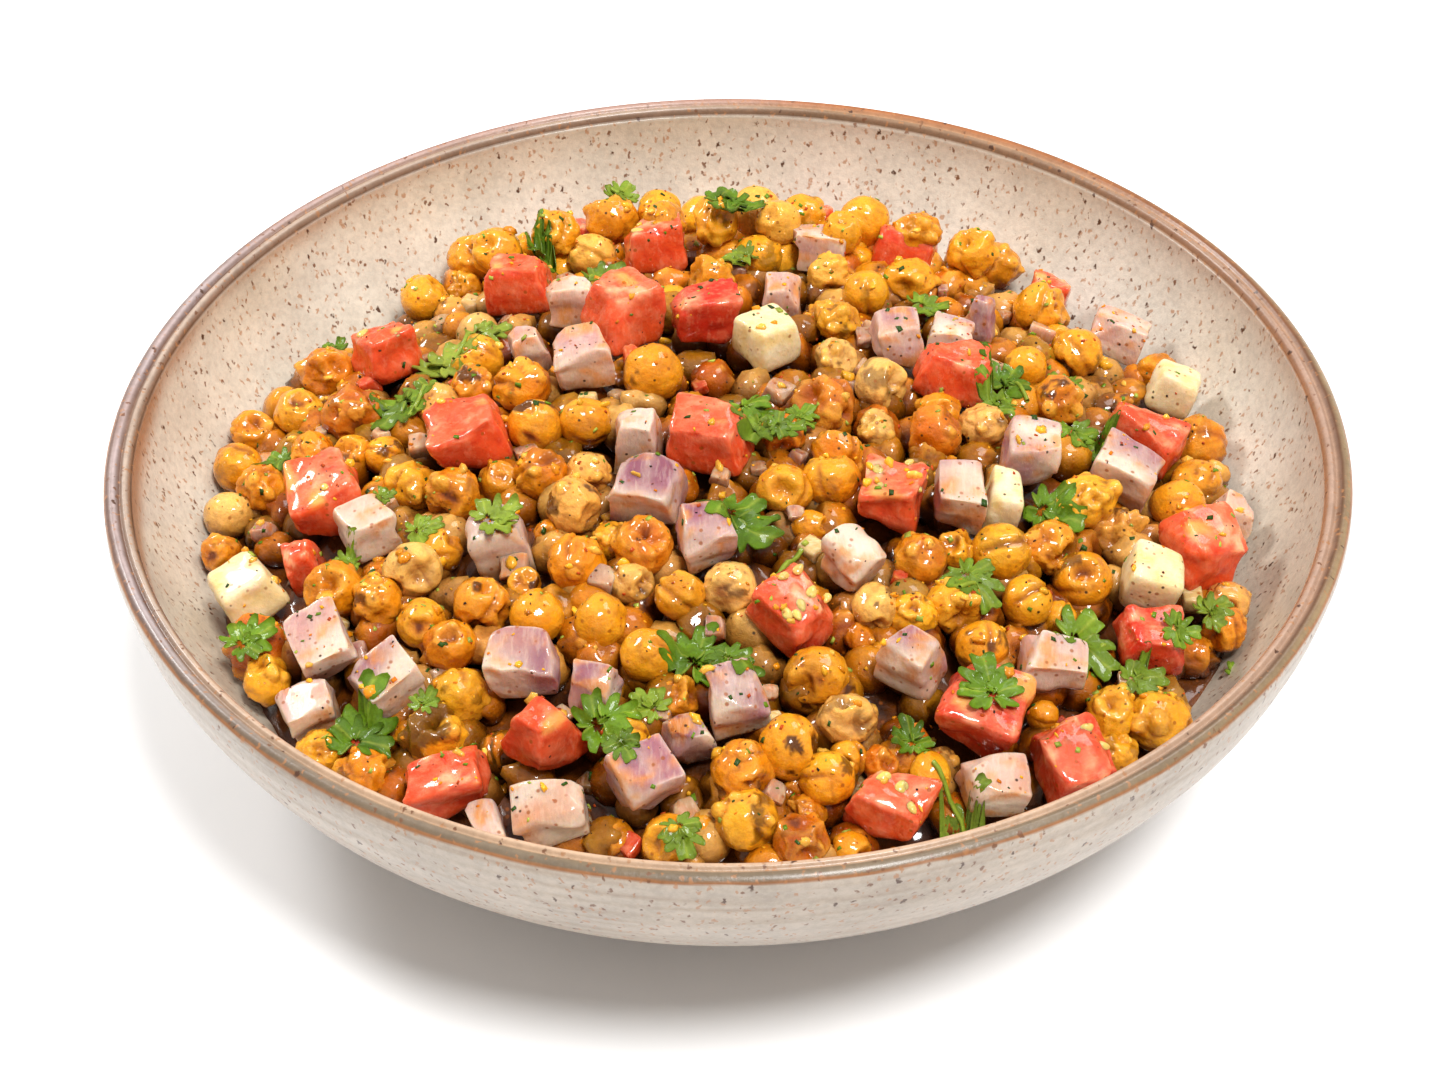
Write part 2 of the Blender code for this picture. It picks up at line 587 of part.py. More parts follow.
def main():
    clear_scene()
    rng = np.random.default_rng(SEED)
    parts = new_collection("chana_jor_garam")
    joined = new_collection("joined")
    joined.hide_render = True
    stoneware = new_material("stoneware", (0.62, 0.54, 0.46), 0.35)
    chickpea = new_material("chickpea", (0.72, 0.36, 0.07), 0.4)
    tomato = new_material("tomato", (0.75, 0.07, 0.03), 0.3)
    onion = new_material("onion", (0.72, 0.5, 0.56), 0.35)
    potato = new_material("potato", (0.85, 0.75, 0.45), 0.45)
    coriander = new_material("coriander", (0.12, 0.3, 0.04), 0.5)

    bowl = turned_solid("bowl", bowl_profile(), stoneware, parts)
    bowl.data.shade_smooth()
    bowl.data.set_sharp_from_angle(angle=math.radians(50))
    heap = turned_solid("heap", core_profile(), chickpea, parts)

    chunks = place_chunks()
    places, radii = settle_peas(chunks)
    solids = []
    ball, ball_faces = ball_shape()
    for index, (place, radius) in enumerate(zip(places, radii)):
        spin = np.array(Matrix.Rotation(rng.uniform(0.0, math.tau), 3, rng.normal(size=3)))
        squash = rng.uniform(*PEA_SQUASH, 3)
        points = (ball * squash) @ spin.T * radius + place
        solids.append((points, ball_faces))
        add_mesh(f"pea_{index}", points, ball_faces, chickpea, joined)

    counts = {"tomato": 0, "onion": 0, "potato": 0, "bit": 0}
    slots = {"tomato": tomato, "onion": onion, "potato": potato, "bit": chickpea}
    for chunk in chunks:
        counts[chunk.kind] += 1
        shape = petal_shape if chunk.kind == "onion" else dice_shape
        points, faces = shape(chunk, rng)
        solids.append((points, faces))
        target = joined if chunk.kind == "bit" else parts
        name = f"{chunk.kind}_{counts[chunk.kind]:02d}"
        add_mesh(name, points, faces, slots[chunk.kind], target)
    fuse(heap, joined)

    for number, row in enumerate(LEAVES, start=1):
        points, faces = leaf_shape(row, make_ceiling(solids))
        solids.append((points, faces))
        add_mesh(f"leaf_{number:02d}", points, faces, coriander, parts)


main()
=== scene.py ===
"""Looks of the chickpea salad in its stoneware bowl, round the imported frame.

Sizes and places are in millimetres until a mesh is made, with Z up, the bowl
standing on Z 0 and the viewer at -Y.
"""
import itertools
import math

import bpy
import numpy as np
from mathutils import Matrix, Vector
from mathutils.bvhtree import BVHTree


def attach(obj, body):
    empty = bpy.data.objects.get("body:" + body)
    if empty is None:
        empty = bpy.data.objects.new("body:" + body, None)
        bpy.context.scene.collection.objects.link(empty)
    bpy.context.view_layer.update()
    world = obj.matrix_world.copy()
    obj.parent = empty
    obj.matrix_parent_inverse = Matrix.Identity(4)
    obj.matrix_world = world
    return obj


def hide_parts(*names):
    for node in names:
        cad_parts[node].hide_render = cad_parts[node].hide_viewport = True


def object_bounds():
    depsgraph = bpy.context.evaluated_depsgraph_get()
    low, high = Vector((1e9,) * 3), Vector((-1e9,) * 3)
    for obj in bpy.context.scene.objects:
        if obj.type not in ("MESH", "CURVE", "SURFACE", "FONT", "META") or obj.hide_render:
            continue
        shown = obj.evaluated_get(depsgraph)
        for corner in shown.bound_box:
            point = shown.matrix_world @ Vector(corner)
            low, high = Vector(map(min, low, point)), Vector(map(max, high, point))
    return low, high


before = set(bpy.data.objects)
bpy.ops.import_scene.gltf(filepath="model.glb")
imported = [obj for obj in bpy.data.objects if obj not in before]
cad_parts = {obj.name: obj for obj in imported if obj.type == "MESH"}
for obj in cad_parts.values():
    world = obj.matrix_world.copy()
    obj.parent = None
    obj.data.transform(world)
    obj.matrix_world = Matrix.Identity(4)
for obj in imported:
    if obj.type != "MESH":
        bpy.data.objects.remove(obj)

cad_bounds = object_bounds()
MM = 0.001
SEED = 23

# The tables and the rules for placing are those of the CAD, so that each piece lies where its solid does
# Bowl: a turned wall that sweeps from a small foot to an upright rim
RIM_R = 105.0
RIM_H = 56.0
WALL_POWER = 1.07
OUTER_FLAT = 32.0
OUTER_DEPTH = 53.9
INNER_R = 100.4
INNER_FLAT = 30.0
INNER_DEPTH = 48.0
FOOT_R = 42.0
FOOT_WIDTH = 6.0
FOOT_RECESS = 1.6
# Double bead of the lip: how far out from the inner wall, and how far below the rim
LIP_BEADS = [(0.0, 1.6), (0.5, 0.5), (1.2, 0.2), (1.9, 0.7), (2.6, 0.1), (3.4, 0.0), (4.4, 0.8), (4.6, 2.2)]

# Salad: a bare dome, with chickpeas half sunk in it and chunks on it
DOME_REACH = 94.0
DOME_RISE = 18.0
DOME_EDGE = 33.0
GAP = 0.35
WALL_GAP = 0.8
PEA_SINK = 0.55
PEA_SINK_SMALL = 0.25
PEA_SMALL = 3.75
PEA_LOOSE = 0.84
PEA_LEAST = 2.4
PEA_LOW = 0.4
PEA_HIGH = 0.8
HOME_PULL = 0.14
PEA_PUSH = 0.35
CHUNK_PUSH = 0.7
SIGHT_PASSES = 6
PUSH_GAP = 0.45
HOME_FADE = 0.9
SETTLE_PASSES = 160
CHUNK_PASSES = 60
WALL_ANGLES = (0.0, 20.0, 40.0, 60.0)
SPREAD_COUNT = 5
AXIS_LEAST = 0.05
LEVEL_LEAST = 0.4
TINY = 1e-6
FAR = 1e3
BED = {"tomato": 0.4, "onion": 1.0, "potato": 0.4, "bit": -1.6}

# Tomato dice: x, y, width, depth, height, yaw, tip
TOMATOES = [
    (-45, 0, 13.5, 11, 9, 20, 8), (-61.5, 33, 11, 10, 9, 28, 5), (-39, 53, 12, 9.5, 9, -10, 0),
    (-14, 65, 12, 9.5, 9.5, 8, 4), (-18.5, 35, 11.5, 10.5, 11, 38, 6), (-3, 30, 11.5, 10, 9.5, 12, 8),
    (35, 69, 12.5, 9, 8, -6, 0), (39.5, 19, 13, 10, 9.5, -8, 4), (73, 9, 14.5, 9.5, 8.5, -24, 0),
    (30, -18, 11, 12, 9, -14, 6), (-4, -5, 13.5, 10.5, 9.5, -14, 6), (-67.5, -11.5, 13, 12, 9, 14, 6),
    (10, -44, 11.5, 11.5, 9, 40, 8), (81, -18, 12, 12, 9, 24, 4), (69, -40, 11, 10, 8, 5, 0),
    (37, -61, 12.5, 12, 9.5, -16, 6), (50.5, -67, 11.5, 12, 9, 20, 6), (24.5, -77, 11.5, 8.5, 8, -20, 0),
    (-28, -66.5, 11.5, 11.5, 11.5, 42, 8), (-43, -73, 13, 9, 9, 14, 4),
]
# Onion petals, the same way
ONIONS = [
    (18, 65, 11, 8, 7, -10, 0), (-28, 40.5, 9, 8, 8, 0, 4), (-26, 20.5, 11, 9.5, 8, 12, 0),
    (31.5, 28, 10.5, 9.5, 7, 6, 4), (46.5, 38, 7.5, 7, 8.5, -20, 8), (73, 44, 10.5, 8, 7, -20, 4),
    (-61, -15.5, 11, 9.5, 7, 24, 6), (-13.5, -17.5, 12, 9.5, 8, -14, 6), (-3.5, -28, 9.5, 10.5, 8, 12, 4),
    (37, -16, 8.5, 11, 8, -4, 6), (52, -3, 10.5, 10, 8, 0, 0), (68, -4, 11, 9.5, 8, -24, 4),
    (20, -32.5, 8.8, 8.8, 7, 42, 8), (-55, -50, 9.8, 9.8, 7, 36, 8), (-64, -45.5, 10.5, 11.5, 7, 20, 6),
    (-32, -54.5, 11.5, 9, 8, -10, 4), (-21.5, -57, 9, 8, 7, -18, 0), (-0.5, -60.5, 10, 10, 8, 15, 0),
    (-11, -73, 9.5, 9.5, 8, 30, 4), (-27.5, -77, 11, 8.5, 8, 4, 0), (33, -54.5, 11, 9.5, 8, -30, 6),
    (51.5, -50, 11, 9, 7, -4, 6), (41, -69, 10.5, 8, 7, 8, 0),
]
# Potato dice, the same way
POTATOES = [
    (5.5, 27.5, 10.5, 9.5, 8.5, 36, 4), (83, 28, 9.5, 9, 8.5, -14, 0), (-79, -25.5, 11, 12, 8.5, 30, 4),
    (69.5, -30, 9.8, 10, 9, -10, 4),
]
# Small chunks that are one with the heap, the same way
BITS = [
    (-27, 76, 8, 7, 8, 10, 0), (17, 83, 9, 7, 8, 16, 0), (65, 62, 8, 7, 8, -10, 0),
    (-72, -23, 6, 6, 8, 10, 0), (-36, 29, 8, 7, 8, 10, 0), (88, -8, 7.5, 9, 8.5, -10, 0),
    (-71, -54, 9, 7.5, 8, 16, 0), (-6, -66, 7.5, 6.5, 8.5, 20, 0), (-15, -2, 8.5, 8.5, 9.5, 0, 0),
    (-38, -25, 10.5, 9.5, 9.5, 10, 0), (45, -14.5, 6, 10.5, 9, -4, 0), (10, 44, 8, 8, 8, 0, 0),
    (39.5, 31.5, 8, 7, 8.5, -10, 0), (-37, -79, 5, 8, 8, 20, 0),
]
# Chickpeas that show, read off four quarters of the photo at twice its size. A quarter has its left and
# top, then for each chickpea the column, the row and the radius
PEAS = [
    ((380, 340), [
        (545, 180, 55), (470, 258, 48), (412, 243, 32), (550, 238, 35), (213, 383, 32), (290, 402, 54),
        (328, 492, 62), (130, 462, 44), (218, 488, 52), (125, 525, 46), (82, 597, 50), (128, 648, 52),
        (58, 682, 50), (245, 568, 48), (330, 572, 42), (388, 570, 42), (437, 637, 50), (528, 650, 58),
        (615, 612, 42), (702, 608, 56), (692, 515, 56), (675, 430, 58), (612, 372, 50), (790, 505, 50),
        (798, 605, 45), (765, 682, 60), (925, 408, 64), (845, 395, 38), (1020, 75, 50), (1040, 215, 46),
        (965, 262, 36), (722, 140, 34), (630, 165, 34), (803, 172, 48), (497, 470, 46), (565, 437, 44),
    ]),
    ((1380, 340), [
        (338, 95, 42), (365, 165, 46), (440, 225, 52), (278, 215, 42), (352, 248, 48), (243, 300, 38),
        (312, 312, 46), (292, 380, 44), (385, 430, 56), (270, 470, 58), (372, 520, 42), (295, 570, 54),
        (213, 636, 57), (332, 642, 58), (500, 478, 46), (490, 528, 56), (585, 512, 46), (540, 190, 38),
        (628, 192, 50), (705, 260, 56), (775, 368, 54), (730, 335, 36), (893, 358, 42), (905, 405, 42),
        (735, 465, 52), (1067, 543, 56), (1000, 483, 34), (1005, 632, 48), (765, 625, 58), (188, 530, 46),
        (135, 175, 46), (672, 395, 44), (1095, 610, 36),
    ]),
    ((380, 960), [
        (260, 172, 62), (138, 282, 60), (150, 385, 52), (257, 525, 48), (352, 585, 52), (492, 510, 62),
        (508, 415, 58), (522, 330, 54), (465, 288, 54), (365, 242, 57), (452, 178, 58), (508, 145, 44),
        (402, 132, 38), (582, 248, 57), (695, 272, 57), (772, 165, 60), (884, 208, 46), (822, 285, 60),
        (940, 128, 60), (918, 350, 58), (980, 232, 52), (668, 205, 36), (722, 102, 34), (845, 125, 40),
        (808, 585, 54), (945, 698, 56), (1025, 700, 36), (410, 480, 40), (600, 560, 38), (1000, 430, 42),
        (40, 148, 44), (860, 700, 42),
    ]),
    ((1380, 960), [
        (82, 207, 55), (345, 250, 50), (352, 303, 33), (460, 160, 60), (532, 145, 42), (438, 268, 48),
        (530, 250, 56), (622, 145, 58), (720, 133, 56), (785, 200, 58), (676, 243, 54), (585, 335, 54),
        (735, 275, 36), (833, 68, 58), (938, 55, 56), (1060, 228, 46), (1062, 308, 48), (1000, 378, 56),
        (930, 473, 60), (895, 370, 42), (815, 455, 56), (852, 543, 42), (708, 455, 34), (252, 388, 64),
        (180, 500, 64), (69, 560, 64), (315, 478, 58), (320, 560, 40), (297, 612, 58), (205, 583, 46),
        (112, 662, 62), (222, 720, 60), (325, 728, 42), (380, 580, 40), (445, 535, 46), (498, 615, 46),
        (435, 715, 36), (575, 650, 46), (400, 385, 42), (240, 92, 36), (235, 660, 40),
    ]),
]
# View of the photo: the eye, how far it looks down, its roll, and focal length and middle at twice the size
EYE = (-0.65, -350.3, 330.4)
VIEW_PITCH = math.radians(40.79)
VIEW_ROLL = math.radians(-0.31)
VIEW_FOCUS = 5229.0
VIEW_MIDDLE = (1448.0, 1086.0)
# Coriander leaves: x, y, length, yaw, tip
LEAVES = [
    (3, -24, 16, -35, 0), (-5, -49, 13, 80, 4), (1, -54, 11, -60, 0), (-18, -64, 12, 20, 8),
    (40, -60, 13, 95, 0), (-57, -59, 13, 60, 6), (-36, 68, 12, 100, 62), (50, 21, 13, 70, 6),
    (4, 6, 12, -60, 8), (2, 70, 14, 10, 0), (55, -16, 13, -30, 4),
]
RAY_START = 4.0 * RIM_H

random = np.random.default_rng(SEED)
LATTICE_SIZE = 32
LATTICE = random.uniform(-1.0, 1.0, (LATTICE_SIZE,) * 3)
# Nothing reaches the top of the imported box
TOP_MARGIN = 0.05
TOP_LIMIT = max(corner[2] for corner in cad_bounds) / MM - TOP_MARGIN


def rgb(red, green, blue):
    """Linear colour from display values of 0 to 255."""
    share = np.array([red, green, blue]) / 255.0
    return np.where(share <= 0.04045, share / 12.92, ((share + 0.055) / 1.055) ** 2.4)


def smooth_step(low, high, value):
    share = np.clip((value - low) / (high - low), 0.0, 1.0)
    return share * share * (3.0 - 2.0 * share)


def noise(points):
    """Smooth noise between -1 and 1, with a grain of one unit."""
    cell = np.floor(points).astype(int)
    share = points - cell
    share = share * share * (3.0 - 2.0 * share)
    total = np.zeros(len(points))
    for corner in itertools.product((0, 1), repeat=3):
        index = (cell + corner) % LATTICE_SIZE
        weight = np.where(corner, share, 1.0 - share).prod(axis=1)
        total += LATTICE[index[:, 0], index[:, 1], index[:, 2]] * weight
    return total


def rough_noise(points, octaves=3):
    total = np.zeros(len(points))
    for octave in range(octaves):
        total += noise(points * 2.0 ** octave + 7.3 * octave) * 0.55 ** octave
    return total


def ridge_noise(points):
    """Thin raised folds: 1 on a fold and near 0 between folds."""
    return np.clip(1.0 - 2.2 * np.abs(noise(points)), 0.0, 1.0) ** 2


def patchy(points, amount, octaves=1, level=0.5):
    """Share from 0 to 1 that drifts about a level."""
    return np.clip(level + amount * rough_noise(points, octaves), 0.0, 1.0)


def unit(vector):
    return np.asarray(vector, float) / np.linalg.norm(vector)


def wall_curve(reach, flat, depth, turn):
    """Point on a wall curve: turn 0 is at the rim, a quarter turn is at the bottom."""
    radius = flat + (reach - flat) * math.cos(turn) ** WALL_POWER
    return radius, RIM_H - depth * math.sin(turn) ** WALL_POWER


def inner_radius(height):
    """Radius of the bowl's inner wall at a height."""
    sunk = np.clip((RIM_H - np.asarray(height, float)) / INNER_DEPTH, 0.0, 1.0)
    sine = sunk ** (1.0 / WALL_POWER)
    return INNER_FLAT + (INNER_R - INNER_FLAT) * (1.0 - sine ** 2) ** (WALL_POWER / 2.0)


def core_height(x, y):
    """Height of the bare dome under the pieces."""
    return DOME_EDGE + DOME_RISE * (1.0 - (np.square(x) + np.square(y)) / DOME_REACH ** 2)


def chunk_axes(x, y, yaw, tip):
    """Unit axes, as rows, of a chunk that lies on the slope of the dome."""
    out = math.atan2(y, x)
    lean = math.atan(2.0 * DOME_RISE * math.hypot(x, y) / DOME_REACH ** 2)
    turn = Matrix.Rotation(out, 3, "Z") @ Matrix.Rotation(lean, 3, "Y") @ Matrix.Rotation(-out, 3, "Z")
    turn = turn @ Matrix.Rotation(math.radians(yaw), 3, "Z") @ Matrix.Rotation(math.radians(tip), 3, "X")
    return np.array(turn.transposed())


def lattice(count):
    """Points of an even lattice that fills the cube from -1 to 1."""
    steps = np.linspace(-1.0, 1.0, count)
    return np.array(list(itertools.product(steps, steps, steps)))


class Chunk:
    """A dice or petal inside an oriented box."""

    def __init__(self, kind, row):
        x, y, width, depth, height, yaw, tip = row
        self.kind = kind
        self.axes = chunk_axes(x, y, yaw, tip)
        self.half = np.array([width, depth, height]) / 2.0
        self.centre = np.array([x, y, 0.0], float)
        self.spread = (lattice(SPREAD_COUNT) * self.half) @ self.axes
        self.drop()

    def drop(self):
        """Rest the box on the bare dome, at the bed height of its kind."""
        reach = self.spread + [self.centre[0], self.centre[1], 0.0]
        need = core_height(reach[:, 0], reach[:, 1]) - self.spread[:, 2]
        self.centre[2] = need.max() + BED[self.kind]

    def keep_inside(self):
        """Move the box in from the wall of the bowl."""
        reach = self.spread + self.centre
        distance = np.hypot(reach[:, 0], reach[:, 1])
        over = (distance - inner_radius(reach[:, 2]) + WALL_GAP).max()
        if over > 0.0:
            flat = self.centre[:2]
            self.centre[:2] = flat * (1.0 - over / np.linalg.norm(flat))


def push_apart(first, second):
    """Sideways move that frees the second box from the first, or None when they are clear."""
    apart = second.centre - first.centre
    axes = list(first.axes) + list(second.axes)
    axes += [np.cross(one, two) for one in first.axes for two in second.axes]
    best = None
    for axis in axes:
        length = np.linalg.norm(axis)
        if length < AXIS_LEAST:
            continue
        axis = axis / length
        reach = np.abs(first.axes @ axis) @ first.half + np.abs(second.axes @ axis) @ second.half
        clear = abs(apart @ axis) - reach
        if clear > GAP:
            return None
        flat = np.array([axis[0], axis[1], 0.0])
        level = np.linalg.norm(flat)
        if level < LEVEL_LEAST:
            continue
        way = flat / level * (1.0 if apart @ axis > 0.0 else -1.0)
        step = (GAP - clear) / level
        if best is None or step < best[0]:
            best = (step, way)
    return best[0] * best[1]


def place_chunks():
    """All chunks, moved clear of each other and of the wall."""
    groups = [("tomato", TOMATOES), ("onion", ONIONS), ("potato", POTATOES), ("bit", BITS)]
    chunks = [Chunk(kind, row) for kind, rows in groups for row in rows]
    for _ in range(CHUNK_PASSES):
        for first, second in itertools.combinations(chunks, 2):
            near = np.linalg.norm(first.centre - second.centre)
            if near > np.linalg.norm(first.half) + np.linalg.norm(second.half) + GAP:
                continue
            push = push_apart(first, second)
            if push is not None:
                first.centre = first.centre - 0.5 * push
                second.centre = second.centre + 0.5 * push
                first.drop()
                second.drop()
        for chunk in chunks:
            chunk.keep_inside()
            chunk.drop()
    return chunks


def push_from_chunks(places, radii, chunks, gap):
    """Vectors that free balls from boxes, and how deep each ball still is in a box."""
    move = np.zeros_like(places)
    deepest = np.full(len(places), -np.inf)
    for chunk in chunks:
        local = (places - chunk.centre) @ chunk.axes.T
        nearest = np.clip(local, -chunk.half, chunk.half)
        away = local - nearest
        distance = np.linalg.norm(away, axis=1)
        inside = distance < TINY
        side = np.argmin(np.where([True, True, False], chunk.half - np.abs(local), np.inf), axis=1)
        rows = np.arange(len(places))
        signs = np.where(local[rows, side] < 0.0, -1.0, 1.0)
        away[inside] = 0.0
        away[rows[inside], side[inside]] = signs[inside]
        depth_in = chunk.half[side] - np.abs(local[rows, side])
        overlap = radii + gap - np.where(inside, -depth_in, distance)
        length = np.maximum(np.linalg.norm(away, axis=1), TINY)
        world = (away / length[:, None]) @ chunk.axes
        move += world * np.maximum(overlap, 0.0)[:, None]
        deepest = np.maximum(deepest, overlap)
    return move, deepest


def past_wall(places, radii):
    """How far each ball reaches into the wall of the bowl or the gap beside it."""
    distance = np.hypot(places[:, 0], places[:, 1])
    over = np.full(len(places), -np.inf)
    for angle in np.radians(WALL_ANGLES):
        wall = inner_radius(places[:, 2] - radii * math.sin(angle))
        over = np.maximum(over, distance + radii * math.cos(angle) + WALL_GAP - wall)
    return over


def view_axes():
    """Right, up and back of the view, as rows."""
    turn = Matrix.Rotation(math.pi / 2.0 - VIEW_PITCH, 3, "X") @ Matrix.Rotation(VIEW_ROLL, 3, "Z")
    return np.array(turn.transposed())


def sight_line(column, row):
    """Way from the eye through a place of the enlarged photo, one focal length deep."""
    return np.array([column - VIEW_MIDDLE[0], VIEW_MIDDLE[1] - row, -VIEW_FOCUS]) @ view_axes()


def pea_on_dome(column, row, size):
    """Place and radius of a chickpea on the dome that shows at a place of the enlarged photo."""
    sight = sight_line(column, row) / VIEW_FOCUS
    level = DOME_EDGE
    radius = 0.0
    for _ in range(SIGHT_PASSES):
        reach = (level - EYE[2]) / sight[2]
        place = np.array(EYE) + reach * sight
        radius = size * reach / VIEW_FOCUS
        sink = PEA_SINK if radius > PEA_SMALL else PEA_SINK_SMALL
        level = float(core_height(place[0], place[1])) + sink * radius
    return place, radius


def pea_rows():
    """Column, row and radius of each chickpea in the enlarged photo."""
    return [(left + column, top + row, size) for (left, top), rows in PEAS for column, row, size in rows]


def settle_peas(chunks):
    """Places and radii of the chickpeas, eased off each other, the chunks and the wall."""
    found = [pea_on_dome(*row) for row in pea_rows()]
    places = np.array([place for place, _ in found])
    radii = np.array([radius for _, radius in found])
    home = places.copy()
    for turn in range(SETTLE_PASSES):
        places += HOME_PULL * (1.0 - HOME_FADE * turn / SETTLE_PASSES) * (home - places)
        apart = places[:, None, :] - places[None, :, :]
        distance = np.linalg.norm(apart, axis=2) + np.eye(len(places)) * FAR
        overlap = np.maximum(PEA_LOOSE * (radii[:, None] + radii[None, :]) - distance, 0.0)
        places += PEA_PUSH * (apart / distance[:, :, None] * overlap[:, :, None]).sum(axis=1)
        move, _ = push_from_chunks(places, radii, chunks, PUSH_GAP)
        places += CHUNK_PUSH * move
        level = core_height(places[:, 0], places[:, 1])
        places[:, 2] = np.clip(places[:, 2], level - PEA_LOW * radii, level + PEA_HIGH * radii)
        over = np.maximum(past_wall(places, radii), 0.0)
        places[:, :2] *= (1.0 - over / np.hypot(places[:, 0], places[:, 1]))[:, None]
    _, deepest = push_from_chunks(places, radii, chunks, GAP)
    radii -= np.maximum(np.maximum(deepest, past_wall(places, radii)), 0.0)
    kept = radii > PEA_LEAST
    return places[kept], radii[kept]


# Meshes


def put_object(name, data):
    thing = bpy.data.objects.new(name, data)
    bpy.context.scene.collection.objects.link(thing)
    return thing


class Bundle:
    """Points, faces and colours of many shapes that become one piece."""

    def __init__(self):
        self.points = []
        self.faces = []
        self.tints = []
        self.count = 0

    def add(self, points, faces, tints):
        """Tints are a colour a point, with the share of gloss as the fourth value."""
        self.points.append(points)
        self.faces.append(np.asarray(faces) + self.count)
        self.tints.append(np.broadcast_to(tints, (len(points), 4)))
        self.count += len(points)

    def add_all(self, shapes):
        for shape in shapes:
            self.add(*shape)

    def piece(self, name, material, slot):
        """One mesh of all the shapes, with its colours and body; the slot is not used."""
        points = np.concatenate(self.points)
        points[:, 2] = np.minimum(points[:, 2], TOP_LIMIT)
        points = points * MM
        loops = np.concatenate([faces.ravel() for faces in self.faces])
        sizes = np.concatenate([np.full(len(faces), faces.shape[1]) for faces in self.faces])
        mesh = bpy.data.meshes.new(name)
        mesh.vertices.add(len(points))
        mesh.vertices.foreach_set("co", points.ravel())
        mesh.loops.add(len(loops))
        mesh.loops.foreach_set("vertex_index", loops)
        mesh.polygons.add(len(sizes))
        mesh.polygons.foreach_set("loop_start", np.cumsum(sizes) - sizes)
        mesh.update(calc_edges=True)
        mesh.validate()
        mesh.shade_smooth()
        tint = mesh.color_attributes.new("tint", "FLOAT_COLOR", "POINT")
        tint.data.foreach_set("color", np.concatenate(self.tints).astype(np.float32).ravel())
        mesh.materials.append(material)
        thing = put_object(name, mesh)
        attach(thing, "root")
        return thing


def with_gloss(colours, gloss=1.0):
    """Colours with the share of gloss as a fourth value."""
    colours = np.atleast_2d(colours)
    return np.column_stack([colours, np.broadcast_to(gloss, len(colours))])


def mix(first, second, share):
    """Blend of two colours, or of rows of colours, by one share or a share for each point."""
    share = np.clip(np.asarray(share, float), 0.0, 1.0)[..., None]
    return np.asarray(first) * (1.0 - share) + np.asarray(second) * share


def ring_quads(rows, around):
    """Quads between the closed rings of a grid of points."""
    ring, step = np.meshgrid(np.arange(rows), np.arange(around), indexing="ij")
    here = ring * around + step
    after = ring * around + (step + 1) % around
    return np.stack([here, after, after + around, here + around], axis=-1).reshape(-1, 4)


def cube_grid(count, curved):
    """Points and quads on the cube from -1 to 1; curved spaces them for a ball, else closer at the edges."""
    steps = np.linspace(-1.0, 1.0, count + 1)
    if curved:
        steps = np.tan(steps * math.pi / 4.0)
    else:
        steps = np.sin(steps * 1.3) / math.sin(1.3)
    points = []
    quads = []
    for axis in range(3):
        for sign in (-1.0, 1.0):
            start = len(points)
            for i, j in itertools.product(range(count + 1), repeat=2):
                point = [0.0, 0.0, 0.0]
                point[axis] = sign
                point[(axis + 1) % 3] = steps[i] * sign
                point[(axis + 2) % 3] = steps[j]
                points.append(point)
            for i, j in itertools.product(range(count), repeat=2):
                low = start + i * (count + 1) + j
                quads.append((low, low + count + 1, low + count + 2, low + 1))
    points = np.round(points, 6)
    merged, index = np.unique(points, axis=0, return_inverse=True)
    return merged, index.ravel()[np.array(quads)]


def ball_grid(count):
    """Unit directions and quads of a ball."""
    points, quads = cube_grid(count, True)
    return points / np.linalg.norm(points, axis=1)[:, None], quads


FINE_BALL = ball_grid(15)
UNDER_BALL = ball_grid(5)
SEED_BALL = ball_grid(4)
CRUMB_BALL = ball_grid(2)
GRAIN_BALL = ball_grid(1)
FINE_CUBE = cube_grid(13, False)
SMALL_CUBE = cube_grid(5, False)


# Chickpeas

GOLD = rgb(236, 146, 16)
ORANGE = rgb(220, 112, 6)
YELLOW = rgb(248, 176, 34)
CREAM = rgb(246, 198, 112)
FLESH = rgb(252, 184, 66)
CARAMEL = rgb(150, 62, 2)
CREASE_SHADE = rgb(96, 34, 0)
BROWN = rgb(70, 28, 4)
OLIVE = rgb(142, 104, 18)
# For each kind: chance of a dent at each try, clusters of knobs, lumps, creases and its two colours
PEA_KINDS = {
    "whole": (0.3, 0, 0.05, 0.02, (GOLD, YELLOW)),
    "torn": (0.6, 2, 0.075, 0.06, (GOLD, ORANGE)),
    "crumbly": (0.5, 3, 0.095, 0.07, (YELLOW, GOLD)),
    "browned": (0.7, 2, 0.08, 0.07, (ORANGE, CARAMEL)),
}
PEA_MIX = (("whole", 0.34), ("torn", 0.36), ("crumbly", 0.16), ("browned", 0.14))
CREAMY_SHARE = 0.14
DENT_TRIES = 3
CLEFT_WIDTH = 0.12
BEAK_WIDTH = 0.04
# Ways that most dents and knobs face: towards the viewer and up
DENT_WAY = [0.0, -0.45, 0.5]
KNOB_WAY = [0.0, -0.4, 0.3]


